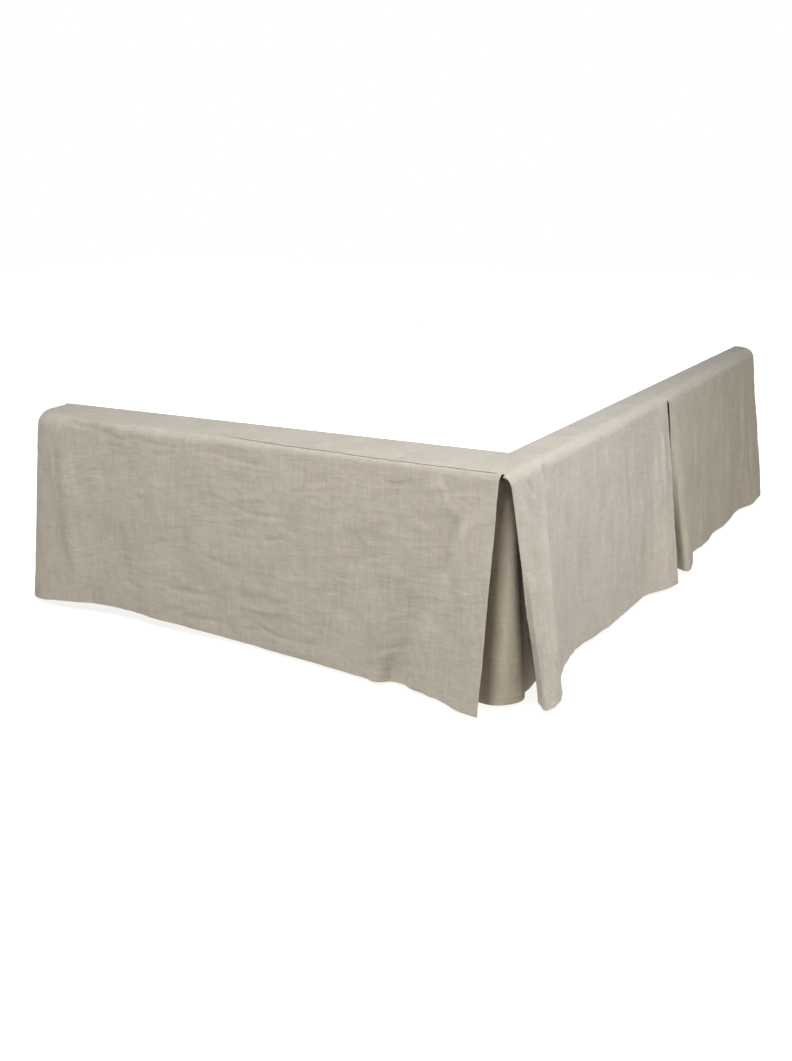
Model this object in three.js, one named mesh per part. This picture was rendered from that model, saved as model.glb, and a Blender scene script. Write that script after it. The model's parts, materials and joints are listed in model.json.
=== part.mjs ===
import * as THREE from 'three';

// A tailored bed skirt on a plain bed base. Millimetres, +Z up.
// +X is to the right when standing at the foot, the foot faces -Y, the head faces +Y.
// The origin is on the floor, under the middle of the base.

// The bed, as the hanging cloth measures it
const BED_WIDTH = 1400;
const BED_LENGTH = 2000;
const TOP_HEIGHT = 510;
const CORNER_RADIUS = 80;

// Cloth
const CLOTH = 2;
const PIECE_GAP = 0.4;
const UNDERLAY_INSET = 8;

// Deck, a little skewed on the base: its sides, its head and foot edges, and where its
// sides turn in at the head
const DECK_RIGHT = 611;
const DECK_LEFT = -645;
const DECK_HEAD = 950;
const DECK_HEAD_HALF_WIDTH = 619;
const DECK_TURN = 900;
const DECK_FOOT_RIGHT = -807;
const DECK_FOOT_LEFT = -852;

// Base and legs
const BASE_CLEARANCE = 14;
const BASE_UNDER_DECK = 0.3;
const BASE_BOTTOM = 175;
const BASE_EDGE_RADIUS = 30;
const LEG_RADIUS = 30;
const LEG_GAP = 0.3;
const LEG_X = 560;
const LEG_Y = 860;

// Half of the bed, and the length of a quarter turn round one of its corners
const HALF_WIDTH = BED_WIDTH / 2;
const HALF_LENGTH = BED_LENGTH / 2;
const TURN = CORNER_RADIUS * Math.PI / 2;

// Ways round the bed that the cloth follows. A way starts at a point, heads off in a
// direction and turns left by a quarter after each leg. The cloth hangs on its right.
// Pieces of the left side are laid out on the right and mirrored, so the way along the
// foot also starts at the near right corner, mirrored.
const RIGHT_WAY = {
  start: [HALF_WIDTH, -HALF_LENGTH],
  heading: Math.PI / 2,
  radius: CORNER_RADIUS,
  legs: [BED_LENGTH - CORNER_RADIUS],
};
const FOOT_WAY = {
  start: [-HALF_WIDTH, -HALF_LENGTH],
  heading: 0,
  radius: CORNER_RADIUS,
  legs: [BED_WIDTH - CORNER_RADIUS, BED_LENGTH - 2 * CORNER_RADIUS],
};

// Places along the ways where pieces start and end, and where the cloth turns
const RIGHT_MIDDLE = HALF_LENGTH;
const RIGHT_TURN = BED_LENGTH - CORNER_RADIUS;
const RIGHT_END = RIGHT_TURN + TURN;
const FOOT_FREE_EDGE = 12;
const FOOT_TURN = BED_WIDTH - CORNER_RADIUS;
const LEFT_SPLIT = FOOT_TURN + 70;
const LEFT_STRAIGHT = FOOT_TURN + TURN;
const LEFT_MIDDLE = LEFT_STRAIGHT + HALF_LENGTH - CORNER_RADIUS;
const LEFT_TURN = LEFT_MIDDLE + HALF_LENGTH - CORNER_RADIUS;
const LEFT_END = LEFT_TURN + TURN;
const SPLIT_GAP = 3;

// Stretches where the hem flares or curls and the facets are finer
const FOOT_FLARE = 260;
const RIGHT_CURL = 130;
const RIGHT_FLARE = 820;

// How the cloth rolls over the edge of the base, along each way: seam is how far the
// sewn seam lies inside the wall plane, roll is the width of the rounding inside that
// plane, proud is how far the cloth stands out past it and drop is the rounding's height.
const RIGHT_EDGE = [
  { run: 0, seam: -8, roll: 6, proud: 19, drop: 28 },
  { run: 200, seam: -2, roll: 12, proud: 14, drop: 28 },
  { run: 1000, seam: 4, roll: 20, proud: 10, drop: 28 },
  { run: 1500, seam: 10, roll: 30, proud: 4, drop: 28 },
  { run: 1930, seam: 17, roll: 40, proud: -7, drop: 30 },
  { run: 2046, seam: 18, roll: 40, proud: -8, drop: 30 },
];
const FOOT_EDGE = [
  { run: 0, seam: 5, roll: 14, proud: 0, drop: 14 },
  { run: 300, seam: 2, roll: 14, proud: 0, drop: 14 },
  { run: 520, seam: 6, roll: 14, proud: 0, drop: 14 },
  { run: 810, seam: 28, roll: 14, proud: 0, drop: 14 },
  { run: 1120, seam: 32, roll: 15, proud: 0, drop: 14 },
  { run: 1250, seam: 22, roll: 18, proud: -2, drop: 18 },
  { run: 1330, seam: 12, roll: 23, proud: -4, drop: 24 },
  { run: 1450, seam: 11, roll: 26, proud: -5, drop: 26 },
  { run: 3412, seam: 11, roll: 26, proud: -3, drop: 28 },
];

// Where each hem hangs: a row for each fold or flare, at its run along the way.
// shift moves the hem along the way, out stands it off the wall plane, hem is its height.
const FOOT_HEM = [
  { run: 12, shift: 0, out: 93, hem: 7 },
  { run: 50, shift: 0, out: 89, hem: 7 },
  { run: 95, shift: 0, out: 74, hem: 7 },
  { run: 145, shift: 0, out: 50, hem: 7 },
  { run: 200, shift: 0, out: 33, hem: 7 },
  { run: 245, shift: 0, out: 29, hem: 7 },
  { run: 300, shift: 0, out: 36, hem: 7 },
  { run: 400, shift: 0, out: 30, hem: 7 },
  { run: 575, shift: 0, out: 17, hem: 7 },
  { run: 700, shift: 0, out: 9, hem: 8 },
  { run: 880, shift: 0, out: 12, hem: 17 },
  { run: 950, shift: 0, out: 16, hem: 20 },
  { run: 1050, shift: 0, out: 10, hem: 22 },
  { run: 1165, shift: 0, out: 15, hem: 23 },
  { run: 1237, shift: 0, out: 28, hem: 20 },
  { run: 1300, shift: 0, out: 33, hem: 15 },
  { run: 1365, shift: 0, out: 41, hem: 9 },
  { run: 1390, shift: 0, out: 40, hem: 9 },
];
const RIGHT_FOOT_HEM = [
  { run: 0, shift: 35, out: 70, hem: 8 },
  { run: 41, shift: -30, out: 103, hem: 8 },
  { run: 62, shift: -31, out: 110, hem: 8 },
  { run: 102, shift: -31, out: 107, hem: 8 },
  { run: 230, shift: -40, out: 58, hem: 8 },
  { run: 400, shift: -43, out: 26, hem: 8 },
  { run: 505, shift: -44, out: 36, hem: 8 },
  { run: 625, shift: -44, out: 41, hem: 8 },
  { run: 810, shift: -44, out: 42, hem: 8 },
  { run: 880, shift: -48, out: 66, hem: 8 },
  { run: 940, shift: -56, out: 85, hem: 8 },
  { run: 1000, shift: -80, out: 88, hem: 7 },
];
const RIGHT_HEAD_HEM = [
  { run: 1003, shift: 38, out: 50, hem: 8 },
  { run: 1045, shift: -36, out: 76, hem: 8 },
  { run: 1075, shift: -38, out: 84, hem: 8 },
  { run: 1135, shift: -40, out: 74, hem: 8 },
  { run: 1260, shift: -45, out: 42, hem: 8 },
  { run: 1360, shift: -45, out: 46, hem: 8 },
  { run: 1460, shift: -45, out: 37, hem: 8 },
  { run: 1540, shift: -45, out: 43, hem: 8 },
  { run: 1750, shift: -45, out: 32, hem: 8 },
  { run: 1860, shift: -46, out: 54, hem: 8 },
  { run: 1930, shift: -46, out: 53, hem: 8 },
  { run: 1990, shift: -45, out: 42, hem: 8 },
  { run: 2046, shift: -42, out: 32, hem: 8 },
];
const LEFT_FOOT_HEM = [
  { run: 1393, shift: 6, out: 36, hem: 9 },
  { run: 1480, shift: 0, out: 28, hem: 9 },
  { run: 1640, shift: -4, out: 18, hem: 8 },
  { run: 1820, shift: -6, out: 34, hem: 8 },
  { run: 2010, shift: -8, out: 20, hem: 8 },
  { run: 2210, shift: -12, out: 38, hem: 8 },
  { run: 2366, shift: -20, out: 48, hem: 8 },
];
const LEFT_HEAD_HEM = [
  { run: 2369, shift: 10, out: 34, hem: 8 },
  { run: 2430, shift: -8, out: 46, hem: 8 },
  { run: 2600, shift: -12, out: 22, hem: 8 },
  { run: 2830, shift: -12, out: 34, hem: 8 },
  { run: 3060, shift: -12, out: 20, hem: 8 },
  { run: 3270, shift: -12, out: 40, hem: 8 },
  { run: 3411, shift: -12, out: 26, hem: 8 },
];

// Underlays hang just inside the wall plane, behind the splits
const UNDERLAY_TOP = 478;
const CORNER_REACH = 60;
const CORNER_TAIL = 100;
const CORNER_UNDERLAY_RADIUS = CORNER_RADIUS - UNDERLAY_INSET;
const CORNER_UNDERLAY_TURN = CORNER_UNDERLAY_RADIUS * Math.PI / 2;
const CORNER_UNDERLAY_END = CORNER_REACH + CORNER_UNDERLAY_TURN + CORNER_TAIL;
const CORNER_UNDERLAY_WAY = {
  start: [HALF_WIDTH - CORNER_RADIUS - CORNER_REACH, UNDERLAY_INSET - HALF_LENGTH],
  heading: 0,
  radius: CORNER_UNDERLAY_RADIUS,
  legs: [CORNER_REACH],
};
const MIDDLE_UNDERLAY_LENGTH = 260;
const MIDDLE_UNDERLAY_WAY = {
  start: [HALF_WIDTH - UNDERLAY_INSET, -MIDDLE_UNDERLAY_LENGTH / 2],
  heading: Math.PI / 2,
  radius: CORNER_RADIUS,
  legs: [MIDDLE_UNDERLAY_LENGTH],
};
const RIGHT_CORNER_UNDERLAY_HEM = [
  { run: 0, out: 15, hem: 8 },
  { run: 60, out: 28, hem: 8 },
  { run: 109, out: 54, hem: 7 },
  { run: 137, out: 55, hem: 7 },
  { run: 173, out: 33, hem: 8 },
  { run: 215, out: 30, hem: 8 },
  { run: 273, out: 17, hem: 8 },
];
const LEFT_CORNER_UNDERLAY_HEM = [
  { run: 0, out: 6, hem: 16 },
  { run: 60, out: 14, hem: 15 },
  { run: 116, out: 22, hem: 14 },
  { run: 173, out: 16, hem: 12 },
  { run: 273, out: 8, hem: 12 },
];
const MIDDLE_UNDERLAY_HEM = [
  { run: 0, out: 9, hem: 9 },
  { run: 90, out: 14, hem: 9 },
  { run: 170, out: 11, hem: 9 },
  { run: 260, out: 14, hem: 9 },
];

// Fineness of the faceted cloth
const TOP_STEPS = 3;
const DROP_STEPS = 6;
const FOOT_DROP_STEPS = 8;
const UNDERLAY_STEPS = 4;
const MARGIN_ROLL_STEPS = 3;
const MARGIN_ROLL_WIDTH = 26;

const LINEN = new THREE.MeshStandardMaterial({ color: 0xb6aea0, roughness: 0.92, metalness: 0 });
const COTTON = new THREE.MeshStandardMaterial({ color: 0xf2f0ec, roughness: 0.9, metalness: 0 });
const BASE_CLOTH = new THREE.MeshStandardMaterial({ color: 0xe4e1dc, roughness: 0.9, metalness: 0 });
const LEG_WOOD = new THREE.MeshStandardMaterial({ color: 0xc2a177, roughness: 0.6, metalness: 0 });

// One column of a table at a run, as a smooth line that doesn't overshoot its rows
function columnAt(rows, column, run) {
  const last = rows.length - 1;
  let k = 0;
  while (k < last - 1 && run > rows[k + 1].run) k += 1;
  const slope = (i) => (rows[i + 1][column] - rows[i][column]) / (rows[i + 1].run - rows[i].run);
  const tangent = (i) => {
    if (i === 0) return slope(0);
    if (i === last) return slope(last - 1);
    const product = slope(i - 1) * slope(i);
    return product <= 0 ? 0 : 2 * product / (slope(i - 1) + slope(i));
  };
  const span = rows[k + 1].run - rows[k].run;
  const t = THREE.MathUtils.clamp((run - rows[k].run) / span, 0, 1);
  const start = rows[k][column] * (1 + 2 * t) * (1 - t) ** 2;
  const end = rows[k + 1][column] * (3 - 2 * t) * t ** 2;
  const bend = tangent(k) * t * (1 - t) ** 2 - tangent(k + 1) * (1 - t) * t ** 2;
  return start + end + bend * span;
}

// One column of a table at a run, straight from row to row
function rowAt(rows, column, run) {
  let k = 0;
  while (k < rows.length - 2 && run > rows[k + 1].run) k += 1;
  const t = (run - rows[k].run) / (rows[k + 1].run - rows[k].run);
  return THREE.MathUtils.lerp(rows[k][column], rows[k + 1][column], THREE.MathUtils.clamp(t, 0, 1));
}

// The point at a run along a way, with the directions out of the bed and along the way
function wayAt(way, run) {
  let [x, y] = way.start;
  let heading = way.heading;
  let rest = run;
  for (const leg of way.legs) {
    const straight = Math.min(rest, leg);
    x += straight * Math.cos(heading);
    y += straight * Math.sin(heading);
    rest -= straight;
    if (rest <= 0) break;
    const turned = Math.min(rest / way.radius, Math.PI / 2);
    x += way.radius * (Math.sin(heading + turned) - Math.sin(heading));
    y -= way.radius * (Math.cos(heading + turned) - Math.cos(heading));
    heading += turned;
    rest -= turned * way.radius;
    if (rest <= 0) break;
  }
  x += Math.max(rest, 0) * Math.cos(heading);
  y += Math.max(rest, 0) * Math.sin(heading);
  return {
    point: new THREE.Vector2(x, y),
    out: new THREE.Vector2(Math.sin(heading), -Math.cos(heading)),
    along: new THREE.Vector2(Math.cos(heading), Math.sin(heading)),
  };
}

// The rounding at a run: out, z and facing at a developed distance from the flat top
function rollAt(edge, run, distance) {
  const roll = columnAt(edge, 'roll', run);
  const width = roll + columnAt(edge, 'proud', run);
  const drop = columnAt(edge, 'drop', run);
  if (distance <= 0) return { out: distance - roll, z: TOP_HEIGHT, facing: [0, 1] };
  const angle = distance / ((width + drop) / 2);
  return {
    out: width * Math.sin(angle) - roll,
    z: TOP_HEIGHT - drop * (1 - Math.cos(angle)),
    facing: [Math.sin(angle) / width, Math.cos(angle) / drop],
  };
}

// Developed distance from the end of the flat top to the seam
function seamDistance(edge, run) {
  const roll = columnAt(edge, 'roll', run);
  const width = roll + columnAt(edge, 'proud', run);
  const inside = roll - columnAt(edge, 'seam', run);
  if (inside <= 0) return inside;
  return Math.asin(inside / width) * (width + columnAt(edge, 'drop', run)) / 2;
}

// The way the cloth faces along the seam, shared by the two pieces that meet there
function seamNormal(way, edge, run) {
  const [outward, upward] = rollAt(edge, run, seamDistance(edge, run)).facing;
  const { out } = wayAt(way, run);
  return new THREE.Vector3(out.x * outward, out.y * outward, upward).normalize();
}

// A closed sheet of cloth from a grid of points on its outer face. Its first index runs
// along the piece and its second outwards or down. seam gives the facing of the row
// that is sewn to another piece. side -1 mirrors the sheet to the left.
function clothSheet(grid, side, seam = { row: -1 }) {
  const columns = grid.length;
  const rows = grid[0].length;
  const at = (i, j) => grid[THREE.MathUtils.clamp(i, 0, columns - 1)][THREE.MathUtils.clamp(j, 0, rows - 1)];
  const facing = (i, j) => {
    if (j === seam.row) return seam.normals[i];
    const along = at(i + 1, j).clone().sub(at(i - 1, j));
    const down = at(i, j + 1).clone().sub(at(i, j - 1));
    return down.cross(along).normalize();
  };
  const innerPoint = (point, i, j) => point.clone().addScaledVector(facing(i, j), -CLOTH);
  const inner = grid.map((column, i) => column.map((point, j) => innerPoint(point, i, j)));
  const positions = [];
  for (const face of [grid, inner]) {
    for (const point of face.flat()) positions.push(point.x * side, point.y, point.z);
  }
  const outerIndex = (i, j) => i * rows + j;
  const innerIndex = (i, j) => columns * rows + i * rows + j;
  const index = [];
  const quad = (a, b, c, d) => {
    if (side > 0) index.push(a, b, c, a, c, d);
    else index.push(a, c, b, a, d, c);
  };
  for (let i = 0; i < columns - 1; i += 1) {
    for (let j = 0; j < rows - 1; j += 1) {
      quad(outerIndex(i, j), outerIndex(i, j + 1), outerIndex(i + 1, j + 1), outerIndex(i + 1, j));
      quad(innerIndex(i, j), innerIndex(i + 1, j), innerIndex(i + 1, j + 1), innerIndex(i, j + 1));
    }
  }
  const bottom = rows - 1;
  for (let i = 0; i < columns - 1; i += 1) {
    quad(outerIndex(i, 0), outerIndex(i + 1, 0), innerIndex(i + 1, 0), innerIndex(i, 0));
    quad(outerIndex(i, bottom), innerIndex(i, bottom), innerIndex(i + 1, bottom), outerIndex(i + 1, bottom));
  }
  const end = columns - 1;
  for (let j = 0; j < rows - 1; j += 1) {
    quad(outerIndex(0, j + 1), outerIndex(0, j), innerIndex(0, j), innerIndex(0, j + 1));
    quad(outerIndex(end, j), outerIndex(end, j + 1), innerIndex(end, j + 1), innerIndex(end, j));
  }
  const geometry = new THREE.BufferGeometry();
  geometry.setAttribute('position', new THREE.Float32BufferAttribute(positions, 3));
  geometry.setIndex(index);
  return geometry;
}

// Runs from a start through stretches, each with its end and its number of steps
function runsThrough(start, stretches) {
  const runs = [start];
  for (const { end, steps } of stretches) {
    const from = runs[runs.length - 1];
    for (let i = 1; i <= steps; i += 1) runs.push(from + (end - from) * i / steps);
  }
  return runs;
}

// The columns of each drop. The margins share them, so that their seams lie together.
const FOOT_RUNS = runsThrough(FOOT_FREE_EDGE, [
  { end: FOOT_FLARE, steps: 10 },
  { end: FOOT_TURN, steps: 22 },
  { end: LEFT_SPLIT, steps: 7 },
]);
const RIGHT_FOOT_RUNS = runsThrough(0, [
  { end: RIGHT_CURL, steps: 8 },
  { end: RIGHT_FLARE, steps: 12 },
  { end: RIGHT_MIDDLE, steps: 5 },
]);
const RIGHT_HEAD_RUNS = runsThrough(RIGHT_MIDDLE + SPLIT_GAP, [
  { end: RIGHT_MIDDLE + RIGHT_CURL, steps: 8 },
  { end: RIGHT_TURN, steps: 14 },
  { end: RIGHT_END, steps: 8 },
]);
const LEFT_FOOT_RUNS = runsThrough(LEFT_SPLIT + SPLIT_GAP, [
  { end: LEFT_STRAIGHT, steps: 5 },
  { end: LEFT_MIDDLE, steps: 18 },
]);
const LEFT_HEAD_RUNS = runsThrough(LEFT_MIDDLE + SPLIT_GAP, [
  { end: LEFT_TURN, steps: 16 },
  { end: LEFT_END, steps: 8 },
]);

// The deck's edge as each margin meets it, at runs along the margin. slant is how far a
// column moves along the way for each millimetre inwards, which makes the near mitre.
const footEdgeY = (x) => {
  const t = (x - DECK_RIGHT) / (DECK_LEFT - DECK_RIGHT);
  return THREE.MathUtils.lerp(DECK_FOOT_RIGHT, DECK_FOOT_LEFT, t) - PIECE_GAP;
};
const MITRE_SLANT = (HALF_LENGTH + DECK_FOOT_RIGHT) / (HALF_WIDTH - DECK_RIGHT);
const FOOT_DECK_EDGE = [
  { run: 0, x: -DECK_RIGHT, y: footEdgeY(DECK_RIGHT), slant: 1 / MITRE_SLANT },
  { run: 100, x: -600, y: footEdgeY(600), slant: 0 },
  { run: FOOT_TURN, x: 620, y: footEdgeY(-620), slant: 0 },
  { run: LEFT_SPLIT, x: -DECK_LEFT, y: footEdgeY(DECK_LEFT), slant: 0 },
];
const RIGHT_DECK_EDGE = [
  { run: 0, x: DECK_RIGHT + PIECE_GAP, y: DECK_FOOT_RIGHT, slant: MITRE_SLANT },
  { run: 240, x: DECK_RIGHT + PIECE_GAP, y: -760, slant: 0 },
  { run: RIGHT_TURN - 40, x: DECK_RIGHT + PIECE_GAP, y: DECK_TURN - 20, slant: 0 },
  { run: RIGHT_TURN, x: DECK_RIGHT + PIECE_GAP, y: DECK_TURN, slant: 0 },
  { run: RIGHT_END, x: DECK_HEAD_HALF_WIDTH + 2 * PIECE_GAP, y: DECK_HEAD, slant: 0 },
];
const LEFT_DECK_EDGE = [
  { run: LEFT_SPLIT, x: PIECE_GAP - DECK_LEFT, y: DECK_FOOT_LEFT, slant: 0 },
  { run: LEFT_STRAIGHT + 100, x: PIECE_GAP - DECK_LEFT, y: -820, slant: 0 },
  { run: LEFT_TURN - 40, x: PIECE_GAP - DECK_LEFT, y: DECK_TURN - 20, slant: 0 },
  { run: LEFT_TURN, x: PIECE_GAP - DECK_LEFT, y: DECK_TURN, slant: 0 },
  { run: LEFT_END, x: DECK_HEAD_HALF_WIDTH + 2 * PIECE_GAP, y: DECK_HEAD, slant: 0 },
];

function pointOn(place, out, z) {
  return new THREE.Vector3(place.point.x + place.out.x * out, place.point.y + place.out.y * out, z);
}

// A drop: from the seam over the edge of the base and down to the hem
function dropPanel({ way, edge, hem, runs, dropSteps, side }) {
  const grid = runs.map((run) => {
    const shift = columnAt(hem, 'shift', run);
    const hemOut = columnAt(hem, 'out', run);
    const hemZ = columnAt(hem, 'hem', run);
    const proud = columnAt(edge, 'proud', run);
    const width = columnAt(edge, 'roll', run) + proud;
    const drop = columnAt(edge, 'drop', run);
    const endAngle = Math.atan2(width * (TOP_HEIGHT - drop - hemZ), drop * (hemOut - proud));
    const rollEnd = endAngle * (width + drop) / 2;
    const rollStart = seamDistance(edge, run) + PIECE_GAP / 2;
    const column = [];
    for (let j = 0; j <= TOP_STEPS; j += 1) {
      const { out, z } = rollAt(edge, run, rollStart + (rollEnd - rollStart) * j / TOP_STEPS);
      column.push(pointOn(wayAt(way, run), out, z));
    }
    const edgePoint = rollAt(edge, run, rollEnd);
    for (let j = 1; j <= dropSteps; j += 1) {
      const w = j / dropSteps;
      const out = edgePoint.out + (hemOut - edgePoint.out) * w;
      const z = edgePoint.z + (hemZ - edgePoint.z) * w;
      column.push(pointOn(wayAt(way, run + shift * w), out, z));
    }
    return column;
  });
  return clothSheet(grid, side, { row: 0, normals: runs.map((run) => seamNormal(way, edge, run)) });
}

// A flat margin from the deck to the seam. inner has the deck's edge in rows along it,
// with the slant that the margin's columns have near a mitre.
function margin({ way, edge, runs, inner, side }) {
  const grid = runs.map((run) => {
    const place = wayAt(way, run);
    const slant = rowAt(inner, 'slant', run);
    const end = seamDistance(edge, run) - PIECE_GAP / 2;
    const column = [new THREE.Vector3(rowAt(inner, 'x', run), rowAt(inner, 'y', run), TOP_HEIGHT)];
    for (let j = MARGIN_ROLL_STEPS; j >= 0; j -= 1) {
      const { out, z } = rollAt(edge, run, end - MARGIN_ROLL_WIDTH * j / MARGIN_ROLL_STEPS);
      const plan = place.point.clone().addScaledVector(place.out, out);
      plan.addScaledVector(place.along, slant * Math.max(-out, 0));
      column.push(new THREE.Vector3(plan.x, plan.y, z));
    }
    return column;
  });
  const last = MARGIN_ROLL_STEPS + 1;
  return clothSheet(grid, side, { row: last, normals: runs.map((run) => seamNormal(way, edge, run)) });
}

// An underlay: straight down from its top, flaring to its hem
function underlay({ way, hem, runs, side }) {
  const grid = runs.map((run) => {
    const column = [];
    for (let j = 0; j <= UNDERLAY_STEPS; j += 1) {
      const w = j / UNDERLAY_STEPS;
      const z = UNDERLAY_TOP + (columnAt(hem, 'hem', run) - UNDERLAY_TOP) * w;
      column.push(pointOn(wayAt(way, run), columnAt(hem, 'out', run) * w, z));
    }
    return column;
  });
  return clothSheet(grid, side);
}

function deck() {
  const outline = new THREE.Shape([
    new THREE.Vector2(DECK_LEFT, DECK_FOOT_LEFT),
    new THREE.Vector2(DECK_RIGHT, DECK_FOOT_RIGHT),
    new THREE.Vector2(DECK_RIGHT, DECK_TURN),
    new THREE.Vector2(DECK_HEAD_HALF_WIDTH, DECK_HEAD),
    new THREE.Vector2(-DECK_HEAD_HALF_WIDTH, DECK_HEAD),
    new THREE.Vector2(DECK_LEFT, DECK_TURN),
  ]);
  const geometry = new THREE.ExtrudeGeometry(outline, { depth: CLOTH, bevelEnabled: false });
  return geometry.translate(0, 0, TOP_HEIGHT - CLOTH);
}

// A plain box with rounded corners and a rounded upper edge, as a stack of outlines
function bedBase() {
  const top = TOP_HEIGHT - CLOTH - BASE_UNDER_DECK;
  const halfWidth = HALF_WIDTH - BASE_CLEARANCE;
  const halfLength = HALF_LENGTH - BASE_CLEARANCE;
  const cornerRadius = CORNER_RADIUS - BASE_CLEARANCE;
  const cornerSteps = 6;
  const edgeSteps = 5;
  const levels = [{ inset: 0, z: BASE_BOTTOM }];
  for (let k = 0; k <= edgeSteps; k += 1) {
    const angle = Math.PI / 2 * k / edgeSteps;
    levels.push({
      inset: BASE_EDGE_RADIUS * (1 - Math.cos(angle)),
      z: top - BASE_EDGE_RADIUS * (1 - Math.sin(angle)),
    });
  }
  const positions = [];
  const corners = [[1, -1], [1, 1], [-1, 1], [-1, -1]];
  for (const { inset, z } of levels) {
    corners.forEach(([sx, sy], corner) => {
      for (let k = 0; k <= cornerSteps; k += 1) {
        const angle = (corner - 1 + k / cornerSteps) * Math.PI / 2;
        positions.push(
          sx * (halfWidth - cornerRadius) + (cornerRadius - inset) * Math.cos(angle),
          sy * (halfLength - cornerRadius) + (cornerRadius - inset) * Math.sin(angle),
          z,
        );
      }
    });
  }
  const ring = corners.length * (cornerSteps + 1);
  const index = [];
  for (let level = 0; level < levels.length - 1; level += 1) {
    for (let k = 0; k < ring; k += 1) {
      const a = level * ring + k;
      const b = level * ring + (k + 1) % ring;
      index.push(a, b, b + ring, a, b + ring, a + ring);
    }
  }
  const lastRing = (levels.length - 1) * ring;
  for (let k = 1; k < ring - 1; k += 1) {
    index.push(0, k + 1, k);
    index.push(lastRing, lastRing + k, lastRing + k + 1);
  }
  const geometry = new THREE.BufferGeometry();
  geometry.setAttribute('position', new THREE.Float32BufferAttribute(positions, 3));
  geometry.setIndex(index);
  return geometry;
}

function leg() {
  const height = BASE_BOTTOM - LEG_GAP;
  const geometry = new THREE.CylinderGeometry(LEG_RADIUS, LEG_RADIUS, height, 24);
  return geometry.rotateX(Math.PI / 2).translate(0, 0, height / 2);
}

const skirt = new THREE.Group();

function place(name, geometry, material, x = 0, y = 0) {
  const mesh = new THREE.Mesh(geometry, material);
  mesh.name = name;
  mesh.position.set(x, y, 0);
  skirt.add(mesh);
}

// Base and legs
place('bed_base', bedBase(), BASE_CLOTH);
place('leg_foot_left', leg(), LEG_WOOD, -LEG_X, -LEG_Y);
place('leg_foot_right', leg(), LEG_WOOD, LEG_X, -LEG_Y);
place('leg_head_left', leg(), LEG_WOOD, -LEG_X, LEG_Y);
place('leg_head_right', leg(), LEG_WOOD, LEG_X, LEG_Y);
place('leg_centre', leg(), LEG_WOOD);

// Deck and its linen margins
place('deck', deck(), COTTON);
place('margin_foot', margin({
  way: FOOT_WAY,
  edge: FOOT_EDGE,
  runs: [2 * PIECE_GAP, ...FOOT_RUNS.slice(0, -1), LEFT_SPLIT - PIECE_GAP],
  inner: FOOT_DECK_EDGE,
  side: -1,
}), LINEN);
place('margin_right', margin({
  way: RIGHT_WAY,
  edge: RIGHT_EDGE,
  runs: [...RIGHT_FOOT_RUNS, ...RIGHT_HEAD_RUNS],
  inner: RIGHT_DECK_EDGE,
  side: 1,
}), LINEN);
place('margin_left', margin({
  way: FOOT_WAY,
  edge: FOOT_EDGE,
  runs: [LEFT_SPLIT + PIECE_GAP, ...LEFT_FOOT_RUNS, ...LEFT_HEAD_RUNS],
  inner: LEFT_DECK_EDGE,
  side: -1,
}), LINEN);

// Drops
for (const [name, way, edge, hem, runs, dropSteps, side] of [
  ['panel_foot', FOOT_WAY, FOOT_EDGE, FOOT_HEM, FOOT_RUNS, FOOT_DROP_STEPS, -1],
  ['panel_right_foot', RIGHT_WAY, RIGHT_EDGE, RIGHT_FOOT_HEM, RIGHT_FOOT_RUNS, DROP_STEPS, 1],
  ['panel_right_head', RIGHT_WAY, RIGHT_EDGE, RIGHT_HEAD_HEM, RIGHT_HEAD_RUNS, DROP_STEPS, 1],
  ['panel_left_foot', FOOT_WAY, FOOT_EDGE, LEFT_FOOT_HEM, LEFT_FOOT_RUNS, DROP_STEPS, -1],
  ['panel_left_head', FOOT_WAY, FOOT_EDGE, LEFT_HEAD_HEM, LEFT_HEAD_RUNS, DROP_STEPS, -1],
]) {
  place(name, dropPanel({ way, edge, hem, runs, dropSteps, side }), LINEN);
}

// Underlays behind the splits
for (const [name, side, cornerHem] of [
  ['right', 1, RIGHT_CORNER_UNDERLAY_HEM],
  ['left', -1, LEFT_CORNER_UNDERLAY_HEM],
]) {
  place(`underlay_corner_${name}`, underlay({
    way: CORNER_UNDERLAY_WAY,
    hem: cornerHem,
    runs: runsThrough(0, [
      { end: CORNER_REACH, steps: 3 },
      { end: CORNER_REACH + CORNER_UNDERLAY_TURN, steps: 9 },
      { end: CORNER_UNDERLAY_END, steps: 3 },
    ]),
    side,
  }), LINEN);
  place(`underlay_middle_${name}`, underlay({
    way: MIDDLE_UNDERLAY_WAY,
    hem: MIDDLE_UNDERLAY_HEM,
    runs: runsThrough(0, [{ end: MIDDLE_UNDERLAY_LENGTH, steps: 6 }]),
    side,
  }), LINEN);
}

export default skirt;
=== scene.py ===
"""A tailored linen bed skirt on a plain bed base: cloth, seams, hems, stitching and finishes."""

import json
import math
from collections import namedtuple
from functools import cache

import bpy
import numpy as np
from bpy.props import FloatProperty, FloatVectorProperty, PointerProperty
from mathutils import Matrix, Vector

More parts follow.
